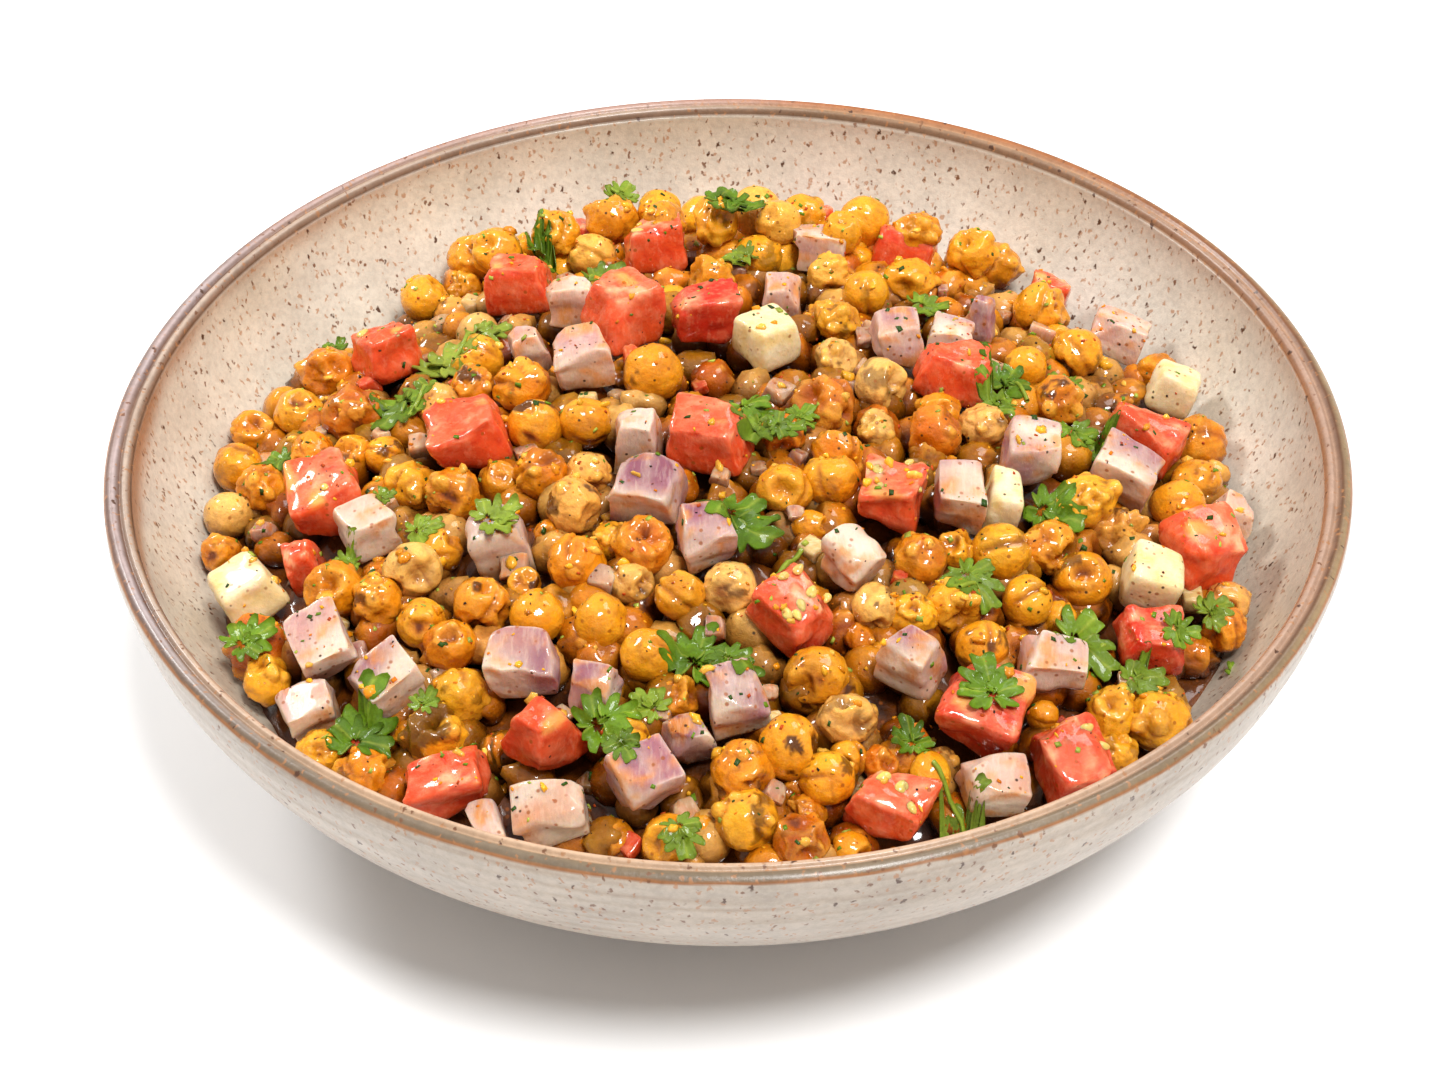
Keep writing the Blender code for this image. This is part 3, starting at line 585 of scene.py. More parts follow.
def pea_shape(kind, radius, grid):
    """One chickpea about the origin: a ball with a cleft, dents, clusters of knobs and creases."""
    dent_chance, clusters, lump, crease, (base, other) = PEA_KINDS[kind]
    ways, quads = grid
    seed = random.uniform(0.0, 900.0, 3)
    reach = 1.0 + lump * rough_noise(ways * 1.4 + seed, 2)
    beak = unit(random.normal(size=3))
    side = unit(np.cross(beak, random.normal(size=3)))
    toward = ways @ beak
    wave = 0.12 * noise(ways * 1.6 + seed)
    cleft = np.exp(-((ways @ side + wave) / CLEFT_WIDTH) ** 2) * smooth_step(-0.5, 0.4, toward)
    reach -= random.uniform(0.06, 0.2) * cleft
    reach += random.uniform(0.04, 0.16) * np.exp(-(1.0 - toward) / BEAK_WIDTH)
    # dark holds painted shade in the cleft, dents, creases and round the knobs, partly caramel browning in
    # the dents; pale holds flesh colour on knobs and dent lips, partly painted highlight
    dark = 0.7 * cleft
    pale = np.zeros(len(ways))
    for _ in range(DENT_TRIES):
        if random.random() > dent_chance:
            continue
        mouth = unit(random.normal(size=3) * 0.9 + DENT_WAY)
        wide = random.uniform(0.35, 0.85)
        angle = np.arccos(np.clip(ways @ mouth, -1.0, 1.0)) + 0.16 * rough_noise(ways * 2.2 + seed, 2)
        inside = smooth_step(wide, wide * 0.35, angle)
        floor = patchy(ways * 3.4 + seed, 0.8)
        reach -= random.uniform(0.14, 0.4) * inside * (1.15 - 0.45 * floor)
        lip = np.exp(-((angle - wide * 1.08) / 0.11) ** 2)
        reach += 0.05 * lip
        pale = np.maximum(pale, 0.5 * lip)
        dark = np.maximum(dark, inside * random.uniform(0.35, 1.0) * (1.1 - 0.7 * floor))
    for _ in range(clusters):
        middle = unit(random.normal(size=3) + KNOB_WAY)
        for _ in range(random.integers(1, 4)):
            knob = unit(middle + 0.4 * random.normal(size=3))
            wide = random.uniform(0.17, 0.34)
            apart = np.arccos(np.clip(ways @ knob, -1.0, 1.0)) + 0.05 * noise(ways * 4.0 + seed)
            bump = np.sqrt(np.clip(1.0 - (apart / wide) ** 2, 0.0, 1.0))
            reach += random.uniform(0.45, 0.8) * wide * bump
            pale = np.maximum(pale, smooth_step(0.0, 0.7, bump))
            dark = np.maximum(dark, 0.5 * np.exp(-((apart - wide * 1.15) / 0.07) ** 2))
    folds = ridge_noise(ways * 1.9 + seed * 0.9)
    creases = ridge_noise(ways * 2.3 + seed * 1.7) * smooth_step(-0.2, 0.3, noise(ways * 1.1 + seed * 0.4))
    reach += crease * (folds - 0.9 * creases) + 0.3 * crease * noise(ways * 5.0 + seed)
    dark = np.maximum(dark * (1.0 - 0.8 * pale), 0.45 * creases)

    share = patchy(ways * 1.1 + seed * 0.6, 0.8) * random.uniform(0.2, 1.0)
    colour = mix(base, other, share) * random.uniform(0.88, 1.1)
    if random.random() < CREAMY_SHARE:
        colour = mix(colour, CREAM, random.uniform(0.4, 0.9))
    # Paler on knobs, lips and folds, partly painted highlight; darker in the hollows, painted shade with some
    # caramel brown
    colour = mix(colour, FLESH, 0.55 * pale + 0.25 * folds)
    colour = mix(colour, CARAMEL, np.minimum(dark, 0.8))
    colour = mix(colour, CREASE_SHADE, smooth_step(0.6, 1.0, dark) * 0.8)
    scorched = smooth_step(0.42, 0.58, noise(ways * 1.5 + seed * 2.1) + 0.3 * noise(ways * 5.0 + seed))
    colour = mix(colour, BROWN, scorched * random.uniform(0.0, 0.95))
    squash = random.uniform(0.88, 1.05, 3)
    points = ways * reach[:, None] * squash * radius * 0.97
    return points, quads, with_gloss(colour, 1.0 - 0.5 * np.minimum(dark, 1.0))


# Painted shade in the gaps: its darkest share, the depths it fades between, and its power on red, green,
# blue, gloss
GAP_SHADE_DARKEST = 0.12
GAP_SHADE_DEPTHS = (-3.0, 4.2)
GAP_SHADE_POWERS = [1.0, 1.3, 1.8, 0.0]


def gap_shaded(points, tints):
    """Darker and redder colours down in the gaps: painted shade, by depth below the bare dome."""
    depth = points[:, 2] - core_height(points[:, 0], points[:, 1])
    shade = GAP_SHADE_DARKEST + (1.0 - GAP_SHADE_DARKEST) * smooth_step(*GAP_SHADE_DEPTHS, depth)
    return tints * shade[:, None] ** GAP_SHADE_POWERS


def pea_kind():
    draw = random.random()
    for kind, share in PEA_MIX:
        if draw < share:
            return kind
        draw -= share
    return PEA_MIX[0][0]


# Back edge of the heap: where it starts, how far its chickpeas are lifted at most, and the lift from which
# one more is put below
BACK_START = 60.0
BACK_LIFT = 6.0
BACK_CARRIED = 3.0
# Chickpeas that close the crest behind the back toppings: x, y, z and radius in millimetres
CREST = [
    (-33.0, 72.0, 45.5, 4.6), (-22.0, 75.0, 46.5, 4.8), (-13.0, 77.0, 47.0, 4.3), (6.0, 76.5, 47.0, 4.9),
    (15.0, 76.0, 46.5, 4.4), (27.0, 74.0, 46.5, 4.8), (37.0, 70.0, 46.0, 4.7), (47.0, 65.0, 45.0, 4.5),
    (-44.0, 66.0, 45.0, 4.6), (-2.0, 70.0, 49.5, 4.7), (10.0, 69.0, 49.5, 4.5), (22.0, 66.0, 49.0, 4.4),
    (-12.0, 69.0, 49.0, 4.5),
]


def raise_back(places):
    """Lift the chickpeas of the back edge up to the line of sight on which the crest shows them."""
    raised = places.copy()
    for place, (column, row, _) in zip(raised, pea_rows()):
        sight = sight_line(column, row)
        level = EYE[2] + (place[1] - EYE[1]) * sight[2] / sight[1]
        if place[1] > BACK_START and level > place[2]:
            place[2] = min(level, place[2] + BACK_LIFT)
    return raised


# Size of a dressed chickpea against its solid, and how far the light yellows the back ones
PEA_SWELL = 1.04
BACK_YELLOW = 0.4


def make_peas(places, radii, material):
    """The chickpeas that show, one piece a kind."""
    bundles = {kind: Bundle() for kind in PEA_KINDS}
    raised = raise_back(places)
    carried = raised[:, 2] - places[:, 2] > BACK_CARRIED
    crest = np.array(CREST)
    raised = np.vstack([raised, places[carried] + [0.0, -1.0, 0.5], crest[:, :3]])
    radii = np.concatenate([radii, radii[carried], crest[:, 3]])
    for place, radius in zip(raised, radii):
        kind = pea_kind()
        points, quads, tints = pea_shape(kind, radius * PEA_SWELL, FINE_BALL)
        sunlit = BACK_YELLOW * smooth_step(15.0, BACK_START, place[1])
        tints[:, :3] = mix(tints[:, :3], YELLOW, sunlit)
        # Painted shade darkens the parts of each chickpea that lie down in the gaps
        bundles[kind].add(points + place, quads, gap_shaded(points + place, tints))
    things = [bundle.piece(f"chickpeas_{kind}", material, "chickpea")
              for kind, bundle in bundles.items()]
    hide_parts("heap")
    return things


# Lower layer: grid step, its row height as a share, shift at random, radius, and how far it sinks
UNDER_STEP = 7.0
UNDER_ROW = 0.87
UNDER_SHIFT = 1.4
UNDER_RADIUS = 4.4
UNDER_SINK = 2.0
# How far a ball of it may reach into the wall and into a chunk
UNDER_IN_WALL = 0.6
UNDER_IN_CHUNK = 1.8
# Shares of olive and of creamy ones, and how strong that colour is
UNDER_TONES = ((0.28, OLIVE * 0.8), (0.17, CREAM * 0.8))
UNDER_TONED = 0.6
# Shift in y and z of the ball below each one of the crest
UNDER_CREST = (-2.0, -7.0)


def under_places(chunks):
    """Places and radii of the lower layer, clear of the wall and the chunks."""
    rows = int(2.0 * DOME_REACH / UNDER_STEP)
    for row, column in itertools.product(range(-rows, rows + 1), repeat=2):
        x = (column + 0.5 * (row % 2)) * UNDER_STEP + random.uniform(-UNDER_SHIFT, UNDER_SHIFT)
        y = row * UNDER_ROW * UNDER_STEP + random.uniform(-UNDER_SHIFT, UNDER_SHIFT)
        radius = UNDER_RADIUS * random.uniform(0.85, 1.12)
        if math.hypot(x, y) > DOME_REACH:
            continue
        place = np.array([[x, y, core_height(x, y) - UNDER_SINK + random.uniform(-1.2, 1.6)]])
        if past_wall(place, np.array([radius]))[0] > UNDER_IN_WALL:
            continue
        _, depth = push_from_chunks(place, np.array([radius]), chunks, 0.0)
        if depth[0] <= UNDER_IN_CHUNK:
            yield place[0], radius


def make_under_peas(chunks, material):
    """Lower layer of chickpeas that shows in the gaps, and the ones below the crest."""
    bundle = Bundle()
    for place, radius in under_places(chunks):
        points, quads, tints = pea_shape(pea_kind(), radius, UNDER_BALL)
        # Painted shade: the lower layer is darker and warmer down in the gaps, and lighter towards the back
        # where the light falls
        under_shade = 0.75 + 0.2 * smooth_step(20.0, 65.0, place[1])
        tints = tints * [under_shade + 0.05, under_shade - 0.03, under_shade - 0.1, 1.0]
        draw = random.random()
        for share, tone in UNDER_TONES:
            if 0.0 <= draw < share:
                tints = with_gloss(mix(tints[:, :3], tone, UNDER_TONED), 0.8)
            draw -= share
        # The lower layer gets the painted shade of the gaps too
        bundle.add(points + place, quads, gap_shaded(points + place, tints))
    for x, y, z, radius in CREST:
        place = np.array([x + random.uniform(-2.0, 2.0), y + UNDER_CREST[0], z + UNDER_CREST[1]])
        points, quads, tints = pea_shape(pea_kind(), radius, UNDER_BALL)
        # Painted shade of the gaps, taken as if these lay 3 mm higher
        bundle.add(points + place, quads, gap_shaded(points + place + [0.0, 0.0, 3.0], tints))
    return bundle.piece("chickpeas_under", material, "chickpea")


# Bed: how far it lies below the bare dome, its reach, its grid, its relief, and its reach into the wall
CORE_SINK = 4.0
CORE_REACH = 91.0
CORE_RINGS = 60
CORE_AROUND = 180
CORE_ROUGH = 1.6
CORE_INTO_WALL = 0.6
# Colours of the bed: painted shade, dark brown mottled a little lighter
CORE_SHADE_DARK = rgb(46, 18, 2)
CORE_SHADE_LIGHT = rgb(120, 60, 8)


def make_core(material):
    """Dark bed under the lower layer: a sheet of painted shade that shows in the deepest gaps."""
    turns = np.linspace(0.0, math.tau, CORE_AROUND, endpoint=False)
    radius = np.linspace(0.0, 1.0, CORE_RINGS)[1:, None] * CORE_REACH
    x = np.append((radius * np.cos(turns)).ravel(), 0.0)
    y = np.append((radius * np.sin(turns)).ravel(), 0.0)
    flat = np.column_stack([x, y, np.zeros(len(x))])
    z = core_height(x, y) - CORE_SINK + CORE_ROUGH * rough_noise(flat / 4.0, 3)
    limit = inner_radius(z) + CORE_INTO_WALL
    scale = np.minimum(1.0, limit / np.maximum(np.hypot(x, y), 1.0))
    points = np.column_stack([x * scale, y * scale, z])
    quads = np.roll(ring_quads(CORE_RINGS - 2, CORE_AROUND)[:, ::-1], 1, axis=1)
    first = np.arange(CORE_AROUND)
    fan = np.column_stack([np.full(CORE_AROUND, len(x) - 1), first, (first + 1) % CORE_AROUND])
    shade = patchy(flat / 3.0 + 40.0, 0.6, 3)
    bundle = Bundle()
    bundle.add(points, quads, with_gloss(mix(CORE_SHADE_DARK, CORE_SHADE_LIGHT, shade), 0.6))
    bundle.faces.append(fan)
    return bundle.piece("salad_shade_bed", material, "chickpea")


# Tomato, onion and potato

# How many corners are cut off, how far the others shift, and how sharp the edges are
CHIPS = 4
TOMATO_WARP = 0.26
ONION_WARP = 0.27
POTATO_WARP = 0.15
TOMATO_SHARP = 12.0
ONION_SHARP = (9.0, 15.0)
POTATO_SHARP = 7.0


def in_chunk(chunk, points):
    """Points of the cube from -1 to 1, set into the box of a chunk."""
    return points * chunk.half @ chunk.axes + chunk.centre


def chipped(points, count):
    """Box points with a few corners and edges cut off by random planes."""
    for _ in range(count):
        way = unit(random.choice([-1.0, 1.0], 3) * random.uniform(0.15, 1.0, 3))
        limit = random.uniform(0.66, 0.9) * np.abs(way).sum()
        points = points - np.maximum(points @ way - limit, 0.0)[:, None] * way
    return points


def rounded(points, power):
    """Cube points drawn in to a box with round edges; a higher power is sharper."""
    size = (np.abs(points) ** power).sum(axis=1) ** (1.0 / power)
    return points / size[:, None]


def warped(points, amount):
    """Box points moved by random shifts of the eight corners."""
    shifts = random.uniform(-amount, amount, (2, 2, 2, 3))
    share = (points + 1.0) / 2.0
    moved = points.copy()
    for corner in itertools.product((0, 1), repeat=3):
        weight = np.where(corner, share, 1.0 - share).prod(axis=1)
        moved += weight[:, None] * shifts[corner]
    return moved


def tapered(points, taper):
    """Box points drawn in towards the top."""
    scale = 1.0 - taper * (points[:, 2] + 1.0) / 2.0
    return points * np.column_stack([scale, scale, np.ones(len(points))])


TOMATO_SIDE = rgb(232, 86, 42)
TOMATO_DEEP = rgb(200, 38, 22)
TOMATO_CUT = rgb(240, 136, 98)
TOMATO_PALE = rgb(248, 178, 134)
TOMATO_CORE = rgb(240, 186, 90)
TOMATO_ORANGE = rgb(232, 84, 16)
# Dice by their row in the table, from 0: taper, and how deep the red is
TOMATO_TAPERS = {18: 0.5, 16: 0.1, 12: 0.15}
TOMATO_DEPTHS = {5: 1.0, 14: 0.9, 15: 0.8, 16: 0.6, 8: 0.4, 0: 0.3, 7: 0.1, 18: 0.2, 4: 0.0}


def tomato_shape(chunk, index=-1, grid=FINE_CUBE):
    """Dice of tomato: smooth sides, and a rough wet cut face on top."""
    cube, quads = grid
    seed = random.uniform(0.0, 900.0, 3)
    box = warped(chipped(rounded(cube, TOMATO_SHARP), CHIPS), TOMATO_WARP)
    box = tapered(box, TOMATO_TAPERS.get(index, random.uniform(0.0, 0.2)))
    up = smooth_step(0.6, 0.95, cube[:, 2])
    grain = rough_noise(box * 3.4 + seed, 3)
    ways = box / np.linalg.norm(box, axis=1)[:, None]
    reach = 0.13 * rough_noise(box * 1.3 + seed, 2) + 0.04 * grain * (0.4 + up)
    hollow = smooth_step(0.1, 0.5, noise(box * 1.3 + seed * 1.3)) * up
    points = box * 0.97 + ways * (reach - 0.1 * hollow)[:, None]
    deep = TOMATO_DEPTHS.get(index, random.uniform(0.0, 0.5))
    colour = mix(TOMATO_SIDE, TOMATO_DEEP, deep * (0.5 + 0.5 * patchy(box * 0.8 + seed * 0.3, 0.8)))
    streak = rough_noise(box * [1.6, 1.6, 2.6] + seed, 3)
    colour = mix(colour, TOMATO_CUT, np.clip(0.3 + 0.6 * streak, 0.0, 1.0) * (0.3 + 0.65 * up))
    colour = mix(colour, TOMATO_PALE, smooth_step(0.3, 1.0, streak + 0.5 * grain) * (0.15 + 0.6 * up))
    colour = mix(colour, TOMATO_ORANGE, 0.5 * smooth_step(0.2, -1.0, box[:, 2]) * (1.0 - 0.6 * deep))
    colour = mix(colour, TOMATO_DEEP, 0.5 * smooth_step(-0.3, -0.8, grain))
    colour = mix(colour, TOMATO_CORE, 0.6 * smooth_step(0.5, 0.8, noise(box * 1.3 + seed * 0.7)) * up)
    return in_chunk(chunk, points), quads, with_gloss(colour * random.uniform(0.94, 1.04))


ONION_WHITE = rgb(226, 206, 184)
ONION_PINK = rgb(212, 156, 124)
ONION_LILAC = rgb(186, 130, 134)
ONION_PURPLE = rgb(142, 80, 100)
ONION_DARK = rgb(98, 38, 60)
ONION_OIL = rgb(222, 140, 44)
# How purple each onion piece is, in the order of its table, and the strong tapers by row
ONION_TINTS = [
    0.3, 0.1, 0.3, 0.35, 0.65, 0.3, 0.05, 0.7, 0.65, 0.4, 0.5, 0.5, 0.03, 0.8, 0.4, 0.8, 0.7, 0.95,
    0.5, 0.05, 0.5, 0.25, 0.2,
]
ONION_TAPERS = {4: 0.6, 16: 0.35, 20: 0.3}


def onion_shape(chunk, purple, index=-1, grid=FINE_CUBE):
    """Bent petal of onion with a ledge where its upper layer parts from a slipped lower one."""
    cube, quads = grid
    seed = random.uniform(0.0, 900.0, 3)
    bend = random.uniform(0.0, 0.35)
    whole = warped(chipped(rounded(cube, random.uniform(*ONION_SHARP)), CHIPS), ONION_WARP)
    whole = tapered(whole, ONION_TAPERS.get(index, random.uniform(0.0, 0.22)))
    ledge = random.uniform(-0.4, 0.35)
    low = smooth_step(ledge + 0.1, ledge - 0.1, whole[:, 2])
    slip = random.uniform(-0.09, 0.09, 2)
    whole[:, :2] *= (1.0 - 0.07 * low)[:, None]
    whole[:, :2] += low[:, None] * slip
    shift = 0.11 * np.column_stack([rough_noise(whole * 1.1 + seed + step, 2) for step in (0.0, 31.0, 57.0)])
    flat = whole + shift
    flat[:, 2] += bend * (0.3 - whole[:, 0] ** 2) * smooth_step(-1.0, 1.0, whole[:, 2])
    line = np.sin(whole[:, 0] * random.uniform(6.0, 10.0) + 2.0 * noise(whole * [1.0, 0.5, 1.0] + seed))
    flat[:, 2] += 0.018 * line * (whole[:, 2] > 0.5)
    flat = np.clip(flat, -1.0, 1.0)
    top = smooth_step(0.2, 0.9, whole[:, 2])
    across = np.clip(0.5 + 0.4 * whole[:, 1] + 0.7 * noise(whole * 0.8 + seed), 0.0, 1.0)
    colour = mix(ONION_WHITE, ONION_PINK, patchy(whole * 0.9 + seed * 0.7, 0.8, level=0.35))
    colour = mix(colour, ONION_LILAC, np.clip(purple * 2.2 * across, 0.0, 1.0))
    colour = mix(colour, ONION_PURPLE, np.clip(purple * 1.6 - 0.3, 0.0, 1.0) * across * (0.35 + 0.65 * top))
    colour = mix(colour, ONION_DARK, np.clip(purple * 2.0 - 1.2, 0.0, 1.0) * across * top)
    colour = mix(colour, ONION_WHITE, 0.3 * np.clip(line, 0.0, 1.0) * across)
    edge = smooth_step(0.86, 0.98, np.abs(cube[:, :2]).max(axis=1)) * top
    colour = mix(colour, ONION_WHITE, 0.35 * edge)
    oil = smooth_step(0.05, 0.9, rough_noise(whole * 1.7 + seed * 1.4, 3) + 0.2 * low)
    colour = mix(colour, ONION_OIL, 0.7 * oil)
    colour = mix(colour, ONION_PURPLE, 0.25 * np.exp(-((whole[:, 2] - ledge) / 0.12) ** 2))
    return in_chunk(chunk, flat), quads, with_gloss(colour * random.uniform(0.88, 1.0))


POTATO = rgb(230, 202, 134)
POTATO_PALE = rgb(238, 220, 180)


def potato_shape(chunk, grid=FINE_CUBE):
    """Dice of boiled potato with soft edges."""
    cube, quads = grid
    seed = random.uniform(0.0, 900.0, 3)
    box = tapered(warped(rounded(cube, POTATO_SHARP), POTATO_WARP), random.uniform(0.05, 0.15))
    ways = box / np.linalg.norm(box, axis=1)[:, None]
    reach = 0.06 * rough_noise(box * 1.3 + seed, 2) + 0.015 * rough_noise(box * 5.0 + seed, 2)
    points = box * 0.96 + ways * reach[:, None]
    share = patchy(box * 1.5 + seed, 0.7, 3)
    return in_chunk(chunk, points), quads, with_gloss(mix(POTATO, POTATO_PALE, share), 0.7)


def cut_shape(kind, chunk, purple, index=-1, grid=FINE_CUBE):
    """Dice or petal of a kind; only onion has a share of purple."""
    if kind == "tomato":
        return tomato_shape(chunk, index, grid)
    if kind == "onion":
        return onion_shape(chunk, purple, index, grid)
    return potato_shape(chunk, grid)


# Seeds on the cut faces: how many by row of the tomato table
SEEDY = {1: 3, 9: 5, 11: 4, 12: 7, 16: 9, 17: 4, 3: 4}
SEED_COLOUR = rgb(232, 186, 96)
SEED_SIZE = [1.3, 0.85, 0.5]
# Reach and level of the seeds in shares of the dice
SEED_REACH = 0.65
SEED_LEVEL = 0.88


def seed_shapes(chunk, count):
    """Seeds that lie on the cut face of a tomato."""
    ways, quads = SEED_BALL
    shapes = []
    for _ in range(count):
        u, v = random.uniform(-SEED_REACH, SEED_REACH, 2)
        turn = Matrix.Rotation(random.uniform(0.0, math.tau), 3, "Z")
        drop = ways * SEED_SIZE * random.uniform(0.7, 1.1)
        drop[:, 1] *= 1.0 - 0.3 * ways[:, 0]
        local = drop @ np.array(turn) + np.array([u, v, SEED_LEVEL]) * chunk.half
        tints = with_gloss(SEED_COLOUR * random.uniform(0.85, 1.1))
        shapes.append((local @ chunk.axes + chunk.centre, quads, tints))
    return shapes


# Kinds of the small chunks of the heap in the order of their table, and how purple the onion ones are
BIT_KINDS = ("tomato",) * 4 + ("onion",) * 6 + ("potato",) + ("onion",) * 3
BIT_TINTS = {4: 0.35, 5: 0.2, 6: 0.25, 7: 0.9, 8: 0.12, 9: 0.2, 11: 0.3, 12: 0.35, 13: 0.25}


def make_chunks(chunks, materials):
    """A piece for each topping over its node, and the small bits of the heap as loose bundles."""
    numbers = dict.fromkeys(BED, 0)
    loose = {kind: Bundle() for kind in materials}
    things = []
    for chunk in chunks:
        index = numbers[chunk.kind]
        numbers[chunk.kind] += 1
        if chunk.kind == "bit":
            kind = BIT_KINDS[index]
            shapes = [cut_shape(kind, chunk, BIT_TINTS.get(index))]
        else:
            kind = chunk.kind
            shapes = [cut_shape(kind, chunk, ONION_TINTS[index], index)]
        if chunk.kind == "tomato":
            shapes += seed_shapes(chunk, SEEDY.get(index, 0))
        bundle = loose[kind] if chunk.kind == "bit" else Bundle()
        # Chunks get the painted shade of the gaps too
        bundle.add_all((points, quads, gap_shaded(points, tints)) for points, quads, tints in shapes)
        if chunk.kind != "bit":
            thing = bundle.piece(f"{kind}_dice_{index + 1:02d}", materials[kind], kind)
            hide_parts(f"{kind}_{index + 1:02d}")
            things.append(thing)
    return things, loose


# Small cut bits in the gaps: how many, random places tried, reach, how high they may lie, and their spacing
FILLER_COUNT = 110
FILLER_TRIES = 2600
FILLER_REACH = 84.0
FILLER_HIGH = 2.2
FILLER_APART = 5.0
FILLER_MIX = (("onion", 0.62), ("tomato", 0.9), ("potato", 1.0))
# Painted shade of the bits down in the gaps: darker, most of all in blue
FILLER_SHADE = [0.86, 0.76, 0.6, 1.0]
FILLER_SIZE = (2.8, 5.0)
FILLER_LIFT = 0.12


def random_spot(reach):
    """Random place in a circle about the middle of the bowl."""
    distance = reach * math.sqrt(random.random())
    turn = random.uniform(0.0, math.tau)
    return distance * math.cos(turn), distance * math.sin(turn)


def add_fillers(loose, surface):
    """Small cut bits in the gaps between the chickpeas."""
    placed = []
    for _ in range(FILLER_TRIES):
        x, y = random_spot(FILLER_REACH)
        level = surface.height(x, y)
        depth = level - float(core_height(x, y))
        if depth > FILLER_HIGH or any(math.hypot(x - px, y - py) < FILLER_APART for px, py in placed):
            continue
        size = random.uniform(*FILLER_SIZE)
        draw = random.random()
        kind = next(name for name, share in FILLER_MIX if draw < share)
        row = (x, y, size, size * random.uniform(0.7, 1.0), size * random.uniform(0.5, 0.8),
               random.uniform(0.0, 180.0), random.uniform(-25.0, 25.0))
        chunk = Chunk("bit", row)
        chunk.centre[2] = level + FILLER_LIFT * size
        if past_wall(np.array([chunk.centre]), np.array([0.5 * size]))[0] > 0.0:
            continue
        purple = random.uniform(0.0, 0.6) if kind == "onion" else None
        points, quads, tints = cut_shape(kind, chunk, purple, grid=SMALL_CUBE)
        # Bits carry painted shade twice: their darker tone and the shade of the gaps
        loose[kind].add(points, quads, gap_shaded(points, tints * FILLER_SHADE))
        placed.append((x, y))
        if len(placed) >= FILLER_COUNT:
            break


# Leaves and crumbs

LEAF_GREEN = rgb(102, 134, 16)
LEAF_DARK = rgb(44, 76, 6)
LEAF_PALE = rgb(162, 172, 60)
LEAFLET_AROUND = 35
LEAFLET_RINGS = 5
LEAFLET_SPREAD = 1.75
# Leaflets of a leaf: yaw in radians, length and place of the base along the stalk, in shares of the leaf
LEAFLETS = ((0.0, 0.56, 0.1), (1.25, 0.46, 0.0), (-1.25, 0.46, 0.0))
# Leaves that only the looks have: x, y, length, yaw, tip and a share of paleness
SMALL_LEAVES = [
    (-50, 31, 15, 70, 4, 0.7), (-43, 36, 11, 20, 4, 0.5), (-58, 14, 14, 240, 8, 0.1),
    (-55, 20, 10, 200, 4, 0.2), (-20, 80, 8, 60, 30, 0.3), (-23, 58, 9, 30, 8, 0.2),
    (40, -36, 12, -50, 6, 0.2), (58, -44, 15, -30, 4, 0.1), (66, -49, 9, 20, 10, 0.2),
    (80, -33, 9, 40, 10, 0.3), (-77, -40, 11, 30, 14, 0.0), (-80, 6, 10, 200, 6, 0.0),
    (5, -3, 10, -100, 6, 0.2), (61, 8, 10, -80, 8, 0.1), (-37, -24, 11, 30, 4, 0.4),
    (-16, -72, 7, -70, 10, 0.1), (-7, -84, 8, -70, 6, 0.2), (36, -77, 9, 60, 8, 0.3),
    (28, -65, 8, 100, 10, 0.0), (2, 60, 9, 200, 4, 0.4), (65, 8, 7, 120, 8, 0.1),
    (-57, -14, 5, 20, 0, 0.3), (38, 46, 9, 10, 6, 0.2), (-50, -20, 8, 10, 6, 0.3),
    (73, -42, 8, 0, 6, 0.1), (-13, -59, 8, 140, 6, 0.3), (48, 14, 9, 60, 6, 0.2),
    (10, -3, 7, 0, 6, 0.1), (84, -40, 7, 60, 6, 0.1), (-30, 52, 7, 60, 6, 0.1),
    (-63, -24, 6, 60, 6, 0.3), (13, 2, 7, 60, 6, 0.1), (-47, -58, 6, 60, 6, 0.2),
    (62, 26, 8, 60, 6, 0.2), (-72, 40, 6, 60, 6, 0.0), (-44, 76, 5, 60, 6, 0.0),
]
# Stalks: the two ends of each
STALKS = [
    (-56, 12, -49, 25), (-49, 27, -43, 38), (12, -28, 6, -36), (-19, -62, -13, -57), (38, -79, 31, -71),
    (50, 24, 53, 15), (62, -41, 55, -47), (-26, 57, -20, 61), (44, -33, 37, -39),
]
STALK_AROUND = 5
STALK_STEPS = 8
STALK_RADIUS = 0.45
LEAF_THICK = 0.2
LEAF_LIFT = 0.3
SPRIG_LIFT = 0.2


class Surface:
    """Height and slope of the top of the pile at a place."""

    def __init__(self, things):
        bpy.context.view_layer.update()
        graph = bpy.context.evaluated_depsgraph_get()
        self.trees = [BVHTree.FromObject(thing, graph) for thing in things]

    def hit(self, x, y):
        start = Vector((x, y, RAY_START)) * MM
        best = None
        for tree in self.trees:
            place, normal, _, _ = tree.ray_cast(start, Vector((0.0, 0.0, -1.0)))
            if place is not None and (best is None or place.z > best[0].z):
                best = (place, normal)
        return best

    def height(self, x, y):
        best = self.hit(x, y)
        return float(core_height(x, y)) if best is None else best[0].z / MM


